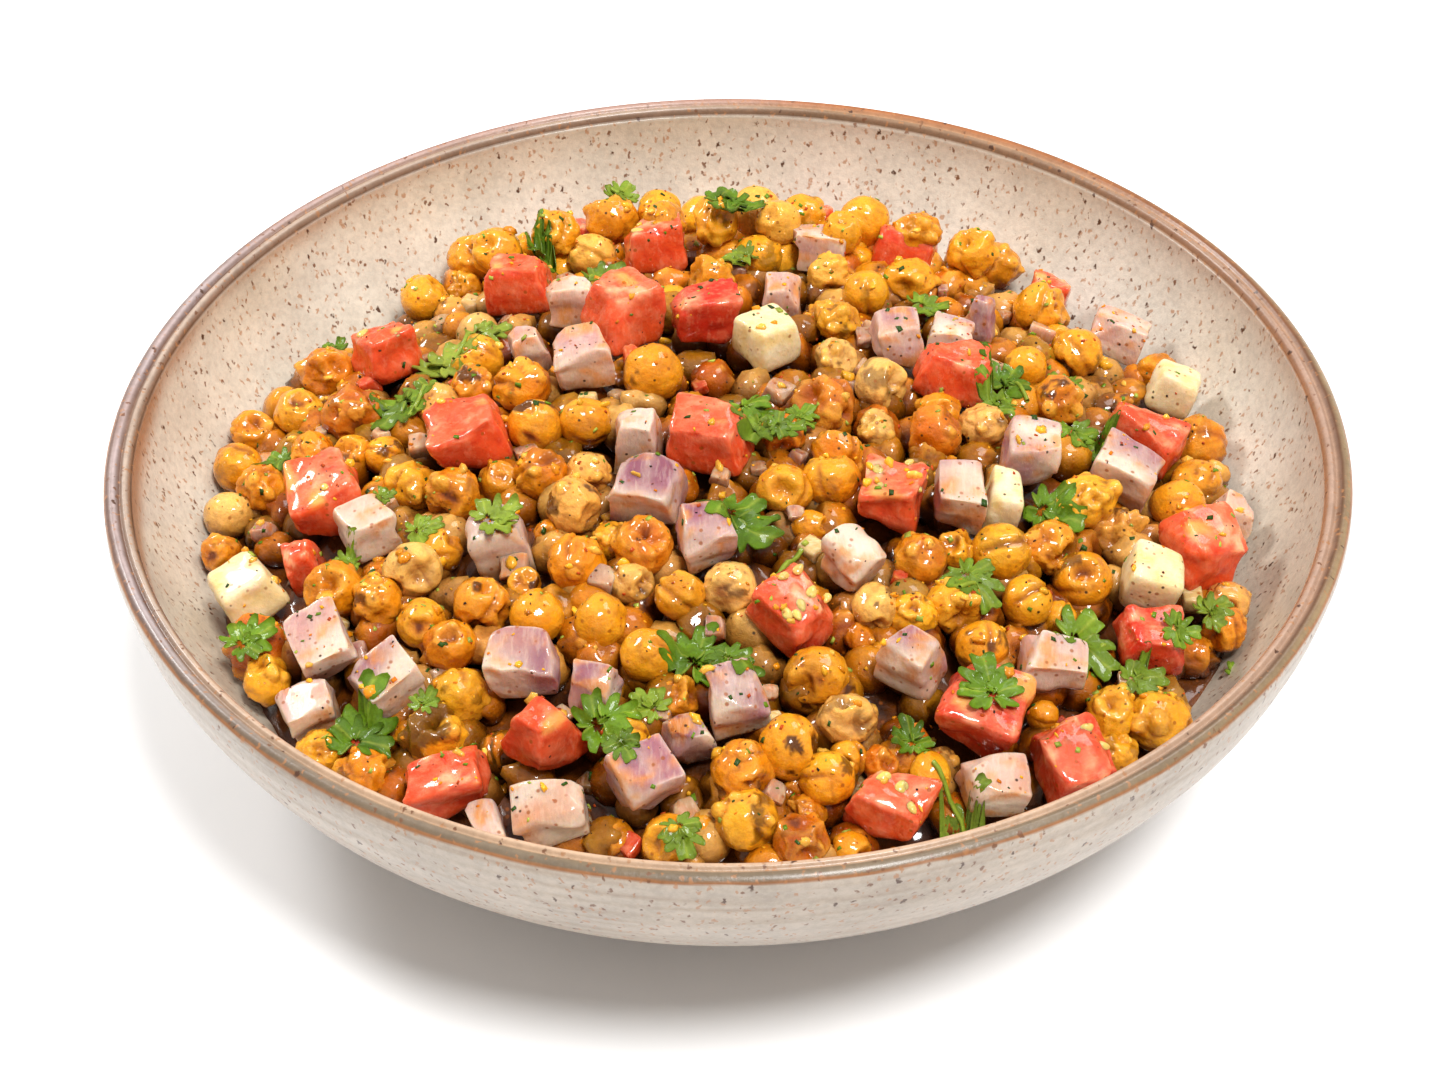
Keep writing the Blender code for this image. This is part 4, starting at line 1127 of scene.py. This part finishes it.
def leaflet_grid(length):
    """Toothed fan of three lobes from its base, as places on a grid of angles and rings."""
    angle = np.linspace(-LEAFLET_SPREAD, LEAFLET_SPREAD, LEAFLET_AROUND)
    notch = 1.0 - random.uniform(0.35, 0.5) * np.exp(-((np.abs(angle) - 0.5) / 0.12) ** 2)
    notch *= 1.0 - random.uniform(0.15, 0.35) * np.exp(-((np.abs(angle) - 1.15) / 0.12) ** 2)
    teeth = 0.8 + 0.24 * np.sqrt(np.abs(np.sin(5.2 * angle + random.uniform(-0.4, 0.4))))
    reach = np.cos(angle / LEAFLET_SPREAD * math.pi / 2.0 * 0.97) ** 0.4 * notch * teeth
    reach *= 1.0 - 0.2 * np.abs(angle) / LEAFLET_SPREAD
    rings = np.linspace(0.0, 1.0, LEAFLET_RINGS + 1)[1:]
    u = reach[:, None] * rings * np.cos(angle)[:, None]
    v = reach[:, None] * rings * np.sin(angle)[:, None]
    return np.stack([u, v], axis=-1).reshape(-1, 2) * length


def sheet_faces(rows, columns):
    """Quads of a closed thin sheet: an upper grid, a lower one and the border between them."""
    index = np.arange(rows * columns).reshape(rows, columns)
    upper = np.stack([index[:-1, :-1], index[:-1, 1:], index[1:, 1:], index[1:, :-1]], axis=-1).reshape(-1, 4)
    size = rows * columns
    border = np.concatenate([index[0, :-1], index[:-1, -1], index[-1, :0:-1], index[:0:-1, 0]])
    after = np.roll(border, -1)
    sides = np.column_stack([after, border, border + size, after + size])
    return np.vstack([upper[:, ::-1], upper + size, sides])


def leaf_shapes(row, surface, lift, pale):
    """Leaf of three wavy leaflets that rests on the pile."""
    x, y, length, yaw, tip = row
    axes = chunk_axes(x, y, yaw, tip)
    faces = sheet_faces(LEAFLET_AROUND, LEAFLET_RINGS)
    shapes = []
    curl = random.uniform(-0.3, 0.9)
    tone = random.uniform(0.2, 0.9)
    for turn, share, along in LEAFLETS:
        turn = turn + random.uniform(-0.2, 0.2)
        grid = leaflet_grid(length * share * random.uniform(0.85, 1.12))
        swing = np.array([[math.cos(turn), math.sin(turn)], [-math.sin(turn), math.cos(turn)]])
        plane = grid @ swing + [(along - 0.22) * length, 0.0]
        seed = random.uniform(0.0, 900.0, 3)
        size = np.column_stack([grid / length, np.zeros(len(grid))])
        lean = random.uniform(-0.25, 0.35)
        ribs = np.abs(np.sin(2.0 * np.arctan2(grid[:, 1], grid[:, 0] + 1e-6)))
        rise = length * (0.09 * noise(size * 5.0 + seed) + 0.035 * noise(size * 12.0 + seed) - 0.02 * ribs)
        rise += curl * (plane ** 2).sum(axis=1) / length * 0.5 + lean * grid[:, 0] * 0.4
        points = np.column_stack([plane, rise]) @ axes + [x, y, 0.0]
        under = np.array([surface.height(px, py) for px, py, _ in points])
        shapes.append([points, under, ribs, seed, size])
    base = np.percentile(np.concatenate([under - points[:, 2] for points, under, _, _, _ in shapes]), 75.0)
    made = []
    for points, under, ribs, seed, size in shapes:
        points[:, 2] = np.maximum(points[:, 2] + base, under) + lift
        points[:, 2] = np.minimum(points[:, 2], TOP_LIMIT)
        colour = mix(LEAF_GREEN, LEAF_DARK, patchy(size * 5.0 + seed, 0.6) * tone)
        colour = mix(colour, LEAF_PALE, pale)
        colour = mix(colour, LEAF_PALE, 0.45 * (1.0 - smooth_step(0.0, 0.25, ribs)))
        tints = with_gloss(colour * random.uniform(0.8, 1.15), 0.5)
        lower = points - axes[2] * LEAF_THICK
        made.append((np.vstack([points, lower]), faces, np.vstack([tints, tints])))
    return made


def make_leaf(name, row, surface, material, lift=LEAF_LIFT, pale=0.0):
    bundle = Bundle()
    bundle.add_all(leaf_shapes(row, surface, lift, pale))
    return bundle.piece(name, material, "coriander")


def make_stalks(surface, material):
    """Thin bent stalks that lie on the pile."""
    bundle = Bundle()
    tint = with_gloss(mix(LEAF_GREEN, LEAF_PALE, 0.5), 0.6)
    turns = np.linspace(0.0, math.tau, STALK_AROUND, endpoint=False)[:, None]
    for x0, y0, x1, y1 in STALKS:
        share = np.linspace(0.0, 1.0, STALK_STEPS + 1)[:, None]
        line = np.array([x0, y0]) + (np.array([x1, y1]) - [x0, y0]) * share
        level = np.array([surface.height(px, py) for px, py in line])
        eased = np.convolve(np.pad(level, 1, mode="edge"), [0.3, 0.4, 0.3], mode="valid")
        line = np.column_stack([line, np.maximum(eased, level) + LEAF_LIFT])
        side = unit([y0 - y1, x1 - x0, 0.0])
        ring = np.cos(turns) * side + np.sin(turns) * [0.0, 0.0, 1.0]
        points = (line[:, None, :] + ring * STALK_RADIUS).reshape(-1, 3)
        bundle.add(points, ring_quads(STALK_STEPS, STALK_AROUND), tint)
    return bundle.piece("coriander_stalks", material, "coriander")


SCATTER_REACH = 88.0


def scatter(name, count, sizes, colours, surface, material, slot, grid, thin, gloss):
    """Small irregular grains on the top of the pile."""
    ways, quads = grid
    bundle = Bundle()
    for _ in range(count):
        hit = surface.hit(*random_spot(SCATTER_REACH))
        if hit is None:
            continue
        normal = np.array(hit[1])
        side = unit(np.cross(normal, random.normal(size=3)))
        axes = np.array([side, np.cross(normal, side), normal])
        size = random.uniform(*sizes) * random.uniform(0.6, 1.0)
        shape = ways * (1.0 + random.uniform(-0.35, 0.35, (len(ways), 1)))
        shape = shape * [size, size * random.uniform(0.4, 0.9), size * thin]
        colour = colours[random.integers(len(colours))] * random.uniform(0.8, 1.15)
        bundle.add(shape @ axes + np.array(hit[0]) / MM, quads, with_gloss(colour, gloss))
    return bundle.piece(name, material, slot)


# Materials

# Kinds of node that many materials use
PLACE = "ShaderNodeTexCoord"
NOISE = "ShaderNodeTexNoise"
# Spots of spice on food: cells a metre, size, share, strength and colour
SPICE_SPOTS = ((700.0, 0.3, 0.22, 0.75, rgb(150, 76, 14)), (480.0, 0.16, 0.16, 0.9, rgb(52, 30, 12)))
# Iron specks in the glaze, the same way, and how far the noise moves them
GLAZE_SPOTS = (
    (740.0, 0.3, 0.8, 0.7, rgb(166, 112, 68)), (540.0, 0.21, 0.8, 0.9, rgb(112, 70, 42)),
    (320.0, 0.15, 0.6, 1.0, rgb(80, 50, 32)),
)
SPECK_WOBBLE = 0.0009
SPECK_STRETCH = (1.0, 1.0, 0.55)
# How much rougher food is where its mesh gives it no gloss
DULLER = 0.3


class Paint:
    """A material whose nodes are joined as they are made."""

    def __init__(self, name):
        self.material = bpy.data.materials.new(name)
        self.material.use_nodes = True
        self.nodes = self.material.node_tree.nodes
        self.shader = self.nodes["Principled BSDF"]

    def put(self, source, socket):
        """A socket as the source is linked, and a value is set."""
        if isinstance(source, bpy.types.NodeSocket):
            self.material.node_tree.links.new(source, socket)
        else:
            socket.default_value = source

    def node(self, kind, **values):
        """Node of a kind, with sources by socket name."""
        node = self.nodes.new(kind)
        for key, value in values.items():
            self.put(value, node.inputs[key.replace("_", " ")])
        return node

    def finish(self, **values):
        """Settings of the surface by socket name, and the finished material."""
        for key, value in values.items():
            self.put(value, self.shader.inputs[key.replace("_", " ")])
        return self.material

    def tint(self):
        node = self.nodes.new("ShaderNodeVertexColor")
        node.layer_name = "tint"
        return node

    def mix(self, blend, factor, first, second):
        node = self.nodes.new("ShaderNodeMix")
        node.data_type = "RGBA"
        node.blend_type = blend
        for socket, value in ((0, factor), (6, first), (7, second)):
            self.put(value, node.inputs[socket])
        return node.outputs[2]

    def ramp(self, source, *stops):
        """Grey ramp from a value: stops are places and levels."""
        ramp = self.node("ShaderNodeValToRGB", Fac=source)
        elements = ramp.color_ramp.elements
        for element, (place, level) in zip(elements, stops):
            element.position = place
            element.color = (level, level, level, 1.0)
        return ramp.outputs[0]

    def spots(self, vector, colour, scale, reach, chosen, strength, spot):
        """Scattered spots over a colour: cells of a size, of which a share has a spot."""
        cells = self.node("ShaderNodeTexVoronoi", Scale=scale, Randomness=1.0, Vector=vector)
        shape = self.ramp(cells.outputs["Distance"], (reach * 0.55, strength), (reach, 0.0))
        part = self.node("ShaderNodeSeparateColor", Color=cells.outputs["Color"])
        some = self.ramp(part.outputs["Red"], (1.0 - chosen, 0.0), (1.03 - chosen, 1.0))
        return self.mix("MIX", self.mix("MULTIPLY", 1.0, shape, some), colour, (*spot, 1.0))


def food_material(name, grain, depth, bump, rough, subsurface, coat, scatter_mm, spice, shine=0.2,
                  granule=None):
    """Colour from the mesh, broken up by fine noise and spice, with a moist surface."""
    paint = Paint(name)
    place = paint.node(PLACE).outputs["Object"]
    tint = paint.tint()
    fine = paint.node(NOISE, Scale=grain, Detail=5.0, Roughness=0.65, Vector=place).outputs["Fac"]
    speckle = paint.ramp(fine, (0.3, 1.0 - depth), (0.65, 1.0))
    colour = paint.mix("MULTIPLY", 1.0, tint.outputs["Color"], speckle)
    height = fine
    if granule:
        # Pale wet granules of the cut flesh, drawn out by a stretch of the noise
        stretch, strength, pale = granule
        drawn = paint.node("ShaderNodeMapping", Scale=stretch, Vector=place).outputs["Vector"]
        flesh = paint.node(NOISE, Scale=1.0, Detail=4.0, Roughness=0.6, Vector=drawn).outputs["Fac"]
        colour = paint.mix("MIX", paint.ramp(flesh, (0.5, 0.0), (0.66, strength)), colour, (*pale, 1.0))
        height = paint.mix("MIX", 0.6, height, flesh)
    if spice:
        for scale, reach, chosen, strength, spot in SPICE_SPOTS:
            colour = paint.spots(place, colour, scale, reach, chosen * spice, strength, spot)
    dull = paint.node("ShaderNodeMapRange", Value=tint.outputs["Alpha"], To_Min=min(rough + DULLER, 1.0),
                      To_Max=rough)
    relief = paint.node("ShaderNodeBump", Strength=bump, Distance=0.0005, Height=height)
    return paint.finish(
        Base_Color=colour, Roughness=dull.outputs["Result"], Normal=relief.outputs["Normal"],
        Subsurface_Weight=subsurface, Subsurface_Radius=(1.0, 0.45, 0.2), Subsurface_Scale=scatter_mm * MM,
        Specular_IOR_Level=shine, Coat_Weight=coat, Coat_Roughness=0.08,
    )


def stoneware_material():
    """Glazed stoneware: colour zones from the mesh, with iron specks and a mottled glaze."""
    paint = Paint("speckled_stoneware")
    place = paint.node(PLACE).outputs["Object"]
    cloud = paint.node(NOISE, Scale=70.0, Detail=6.0, Roughness=0.65, Vector=place).outputs["Fac"]
    mottle = paint.ramp(cloud, (0.32, 0.8), (0.66, 1.0))
    colour = paint.mix("MULTIPLY", 1.0, paint.tint().outputs["Color"], mottle)
    grain = paint.node(NOISE, Scale=800.0, Detail=3.0, Roughness=0.7, Vector=place).outputs["Fac"]
    colour = paint.mix("MULTIPLY", 1.0, colour, paint.ramp(grain, (0.36, 0.86), (0.6, 1.0)))
    wobble = paint.node(NOISE, Scale=900.0, Detail=2.0, Vector=place).outputs["Color"]
    shifted = paint.mix("LINEAR_LIGHT", SPECK_WOBBLE, place, wobble)
    drawn = paint.node("ShaderNodeMapping", Scale=SPECK_STRETCH, Vector=shifted).outputs["Vector"]
    for spots in GLAZE_SPOTS:
        colour = paint.spots(drawn, colour, *spots)
    relief = paint.node("ShaderNodeBump", Strength=0.35, Distance=0.0003, Height=grain)
    return paint.finish(
        Base_Color=colour, Roughness=0.4, Normal=relief.outputs["Normal"],
        Coat_Weight=0.2, Coat_Roughness=0.2,
    )


# Bowl

BOWL_AROUND = 204
# Profile steps inside, between two points of the lip, and outside
INNER_STEPS = 60
LIP_STEPS = 6
OUTER_STEPS = 80
# Unevenness of the wall, and throwing ridges outside
WALL_UNEVEN = 0.16
WALL_RIDGES = 0.09
INSIDE = rgb(228, 220, 206)
INSIDE_WARM = rgb(218, 202, 178)
INSIDE_STAIN = rgb(170, 108, 60)
# Lip colours by direction (front, right, back, left): inner edge, inner bead, groove, outer bead, outer edge;
# glaze colour with painted highlight and shade that differ by side
LIP_GLAZE_AND_LIGHT = np.array([
    [rgb(186, 128, 90), rgb(214, 178, 146), rgb(178, 146, 116), rgb(130, 112, 88), rgb(118, 100, 78)],
    [rgb(168, 116, 78), rgb(178, 144, 124), rgb(170, 134, 110), rgb(100, 60, 34), rgb(156, 130, 94)],
    [rgb(118, 88, 64), rgb(142, 110, 80), rgb(180, 136, 98), rgb(172, 104, 56), rgb(150, 88, 48)],
    [rgb(112, 72, 42), rgb(194, 172, 154), rgb(84, 50, 36), rgb(190, 174, 172), rgb(106, 82, 72)],
])
LIP_STOPS = (0.0, 0.22, 0.44, 0.6, 0.76)
# Thin line at the foot of the lip, and where the outside glaze starts, as shares of the lip
LINE_START = (0.79, 0.82)
OUTSIDE_START = (0.84, 0.88)
BAND_LINE = rgb(158, 104, 62)
OUTSIDE = rgb(190, 175, 159)
OUTSIDE_WARM = rgb(168, 147, 126)


def smooth_line(points, count):
    """Curve through points, with a number of steps between neighbours."""
    points = np.asarray(points, float)
    padded = np.vstack([2 * points[0] - points[1], points, 2 * points[-1] - points[-2]])
    steps = np.linspace(0.0, 1.0, count, endpoint=False)[:, None]
    line = []
    for a, b, c, d in zip(padded, padded[1:], padded[2:], padded[3:]):
        line.append(0.5 * (2 * b + (c - a) * steps + (2 * a - 5 * b + 4 * c - d) * steps ** 2
                           + (3 * b - a - 3 * c + d) * steps ** 3))
    return np.vstack(line + [points[-1:]])


def bowl_line():
    """Profile from the middle of the inside over the lip to the foot, and the zone of each point."""
    inner = np.array([wall_curve(INNER_R, INNER_FLAT, INNER_DEPTH, turn)
                      for turn in np.linspace(math.pi / 2.0, 0.035, INNER_STEPS)])
    lip = smooth_line([(INNER_R + out, RIM_H - below) for out, below in LIP_BEADS], LIP_STEPS)
    outer = np.array([wall_curve(RIM_R, OUTER_FLAT, OUTER_DEPTH, turn)
                      for turn in np.linspace(0.06, 1.43, OUTER_STEPS)])
    inside = FOOT_R - FOOT_WIDTH
    foot = np.array([(FOOT_R, 1.2), (FOOT_R - 0.3, 0.3), (FOOT_R - 0.9, 0.0), (inside + 0.6, 0.0),
                     (inside, 0.5), (inside - 1.2, FOOT_RECESS), (0.001, FOOT_RECESS)])
    line = np.vstack([[(0.001, RIM_H - INNER_DEPTH)], inner, lip, outer, foot])
    zone = np.concatenate([[0.0], np.linspace(0.0, 1.0, len(inner)), np.linspace(1.0, 2.0, len(lip)),
                           np.linspace(2.0, 3.0, len(outer)), np.full(len(foot), 3.0)])
    return line, zone


def bowl_colours(way, height, place):
    """Glaze colour by zone: warm stains below the lip, a lip with painted highlight and shade by direction
    over its glaze colours, and a streaked outside.
    """
    from_lip = RIM_H - height
    left = smooth_step(0.3, -0.9, way[:, 0])
    patch = rough_noise(np.column_stack([way * 2.2, height / 30.0]) + 11.0, 3)
    colour = mix(INSIDE, INSIDE_WARM, 0.25 + 0.5 * patch + 0.35 * left)
    warm = smooth_step(7.0, 0.5, from_lip + 3.0 * patch)
    colour = mix(colour, INSIDE_STAIN, warm * (0.3 + 0.6 * left))
    # The lip's colours change with direction: glaze colour mixed with painted highlight and shade
    turn = np.arctan2(way[:, 1], way[:, 0]) / (math.pi / 2.0) + 1.0 + 0.25 * patch
    near = turn[:, None] - np.arange(4)
    share = np.clip(1.0 - np.abs((near + 2.0) % 4.0 - 2.0), 0.0, 1.0)
    step = place - 1.0 + 0.02 * rough_noise(np.column_stack([way * 30.0, height]), 2)
    stops = np.stack([np.interp(step, LIP_STOPS, row) for row in np.eye(5)], axis=1)
    lip_colour = np.einsum("pd,ps,dsc->pc", share, stops, LIP_GLAZE_AND_LIGHT)
    lip_colour = mix(lip_colour, BAND_LINE, smooth_step(*LINE_START, step))
    streaks = rough_noise(np.column_stack([way * 5.0, height * 1.1]) + 5.0, 3)
    outer_colour = mix(OUTSIDE, OUTSIDE_WARM, 0.2 + 0.6 * streaks)
    lip_colour = mix(lip_colour, outer_colour, smooth_step(*OUTSIDE_START, step))
    lip = (place >= 1.0) & (place <= 2.0)
    colour[lip] = lip_colour[lip]
    outside = place > 2.0
    colour[outside] = outer_colour[outside]
    return colour


def make_bowl(material):
    """The bowl turned from its profile, with faint throwing ridges outside."""
    line, zone = bowl_line()
    turns = np.linspace(0.0, math.tau, BOWL_AROUND, endpoint=False)
    ways = np.column_stack([np.cos(turns), np.sin(turns)])
    radius = np.repeat(line[:, 0], BOWL_AROUND)
    height = np.repeat(line[:, 1], BOWL_AROUND)
    place = np.repeat(zone, BOWL_AROUND)
    way = np.tile(ways, (len(line), 1))
    uneven = WALL_UNEVEN * (noise(np.column_stack([way * 2.0, height / 20.0]) + 3.0) - 1.0)
    ridges = WALL_RIDGES * noise(np.column_stack([way * 1.5, height / 1.6])) * (place > 2.05) * (place < 2.95)
    free = smooth_step(FOOT_R + 1.0, FOOT_R + 12.0, radius) * (place < 3.0)
    points = np.column_stack([way * (radius + (uneven + ridges) * free)[:, None], height])
    bundle = Bundle()
    bundle.add(points, ring_quads(len(line) - 1, BOWL_AROUND), with_gloss(bowl_colours(way, height, place)))
    thing = bundle.piece("stoneware_bowl", material, "stoneware")
    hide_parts("bowl")
    return thing


# Stage

CAMERA_LENS = 65.0
CAMERA_SENSOR = 36.0
KEY_FROM = (0.25, -0.35, 1.0)
KEY_WIDTH = 16.0
KEY_STRENGTH = 3.1
SKY_TOP = 0.5
SKY_EDGE = 0.36
FLOOR_HALF = 6000.0
# Soft lamps: name, place, size and power
LAMPS = (("spark", (-360.0, 220.0, 400.0), 130.0, 1.8), ("fill", (220.0, 160.0, 480.0), 200.0, 0.9))


def make_camera():
    """Camera at the eye of the photo."""
    lens = bpy.data.cameras.new("camera")
    lens.lens = CAMERA_LENS
    lens.sensor_width = CAMERA_SENSOR
    lens.clip_start = 0.01
    camera = put_object("camera", lens)
    tilt = Matrix.Rotation(math.pi / 2.0 - VIEW_PITCH, 4, "X") @ Matrix.Rotation(VIEW_ROLL, 4, "Z")
    camera.matrix_world = Matrix.Translation(Vector(EYE) * MM) @ tilt
    bpy.context.scene.camera = camera


def make_sky():
    """White sky, brighter towards the top."""
    world = bpy.data.worlds.new("studio")
    world.use_nodes = True
    nodes = world.node_tree.nodes
    links = world.node_tree.links
    split = nodes.new("ShaderNodeSeparateXYZ")
    links.new(nodes.new(PLACE).outputs["Generated"], split.inputs["Vector"])
    sky = nodes.new("ShaderNodeMapRange")
    sky.inputs["To Min"].default_value = SKY_EDGE
    sky.inputs["To Max"].default_value = SKY_TOP
    links.new(split.outputs["Z"], sky.inputs["Value"])
    links.new(sky.outputs["Result"], nodes["Background"].inputs["Strength"])
    nodes["Background"].inputs["Color"].default_value = (1.0, 1.0, 1.0, 1.0)
    bpy.context.scene.world = world


def make_light(name, kind, way, power):
    """Light that shines from a place or direction towards the bowl."""
    light = bpy.data.lights.new(name, kind)
    light.energy = power
    lamp = put_object(name, light)
    lamp.rotation_euler = (-Vector(way)).to_track_quat("-Z", "Y").to_euler()
    return lamp


def make_stage():
    make_camera()
    make_sky()
    make_light("key", "SUN", KEY_FROM, KEY_STRENGTH).data.angle = math.radians(KEY_WIDTH)
    for name, place, size, power in LAMPS:
        lamp = make_light(name, "AREA", place, power)
        lamp.data.size = size * MM
        lamp.location = Vector(place) * MM
    mesh = bpy.data.meshes.new("floor")
    half = FLOOR_HALF * MM
    corners = [(-half, -half, 0), (half, -half, 0), (half, half, 0), (-half, half, 0)]
    mesh.from_pydata(corners, [], [(0, 1, 2, 3)])
    mesh.materials.append(Paint("pale_floor").finish(Base_Color=(0.96, 0.96, 0.96, 1.0), Roughness=0.9))
    put_object("floor", mesh)
    bpy.context.scene.view_settings.view_transform = "Standard"


# Foods: grain of the noise and its depth, bump, roughness, subsurface share, coat, scatter in mm, spice,
# shine, and the stretch, strength and colour of the granules
FOODS = {
    "chickpea": (900.0, 0.26, 0.8, 0.26, 0.14, 0.7, 2.0, 1.0, 0.12),
    "tomato": (1100.0, 0.12, 0.9, 0.22, 0.5, 0.6, 3.0, 0.6, 0.1, ((700.0, 900.0, 420.0), 0.2, TOMATO_PALE)),
    "onion": (900.0, 0.16, 0.6, 0.32, 0.5, 0.35, 3.0, 1.6, 0.12, ((1500.0, 300.0, 700.0), 0.2, ONION_WHITE)),
    "potato": (1100.0, 0.14, 0.7, 0.35, 0.4, 0.3, 3.0, 1.4, 0.15, ((400.0, 1300.0, 500.0), 0.4, POTATO_PALE)),
    "coriander": (900.0, 0.3, 0.5, 0.36, 0.1, 0.2, 1.0, 0.0),
    "spice": (1500.0, 0.3, 0.3, 0.5, 0.0, 0.1, 1.0, 0.0),
}
GREENS = (LEAF_GREEN, LEAF_DARK, LEAF_PALE)
SPICE_DARK = (rgb(58, 34, 18), rgb(34, 26, 20), rgb(90, 46, 20))
SPICE_WARM = (rgb(220, 120, 10), rgb(240, 168, 24), rgb(186, 70, 10))
# Loose grains: name, count, sizes, colours, material, slot, ball, thickness and gloss
GRAINS = (
    ("herb_flecks", 800, (0.4, 1.2), GREENS, "coriander", "coriander", GRAIN_BALL, 0.3, 0.5),
    ("spice_dark", 800, (0.2, 0.45), SPICE_DARK, "spice", "chickpea", GRAIN_BALL, 0.6, 0.5),
    ("spice_orange", 1100, (0.2, 0.7), SPICE_WARM, "spice", "chickpea", GRAIN_BALL, 0.6, 0.5),
    ("pea_crumbs", 380, (0.5, 1.5), (FLESH, YELLOW, GOLD), "chickpea", "chickpea", CRUMB_BALL, 0.7, 0.7),
)


def make_leaves(surface, material):
    """The leaves over their nodes, and the ones that only the looks have."""
    for number, row in enumerate(LEAVES, start=1):
        leaf = make_leaf(f"coriander_leaf_{number:02d}", row, surface, material)
        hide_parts(f"leaf_{number:02d}")
    for number, row in enumerate(SMALL_LEAVES, start=1):
        make_leaf(f"coriander_sprig_{number:02d}", row[:5], surface, material, SPRIG_LIFT, row[5])


def main():
    paints = {name: food_material(name, *values) for name, values in FOODS.items()}
    make_stage()
    make_bowl(stoneware_material())
    chunks = place_chunks()
    pile = make_peas(*settle_peas(chunks), paints["chickpea"])
    pile.append(make_under_peas(chunks, paints["chickpea"]))
    pile.append(make_core(paints["chickpea"]))
    dice, loose = make_chunks(chunks, {kind: paints[kind] for kind in ("tomato", "onion", "potato")})
    pile += dice
    add_fillers(loose, Surface(pile))
    for kind, bundle in loose.items():
        pile.append(bundle.piece(f"{kind}_bits", paints[kind], kind))
    surface = Surface(pile)
    make_leaves(surface, paints["coriander"])
    make_stalks(surface, paints["coriander"])
    for name, count, sizes, colours, paint, *rest in GRAINS:
        scatter(name, count, sizes, colours, surface, paints[paint], *rest)


main()
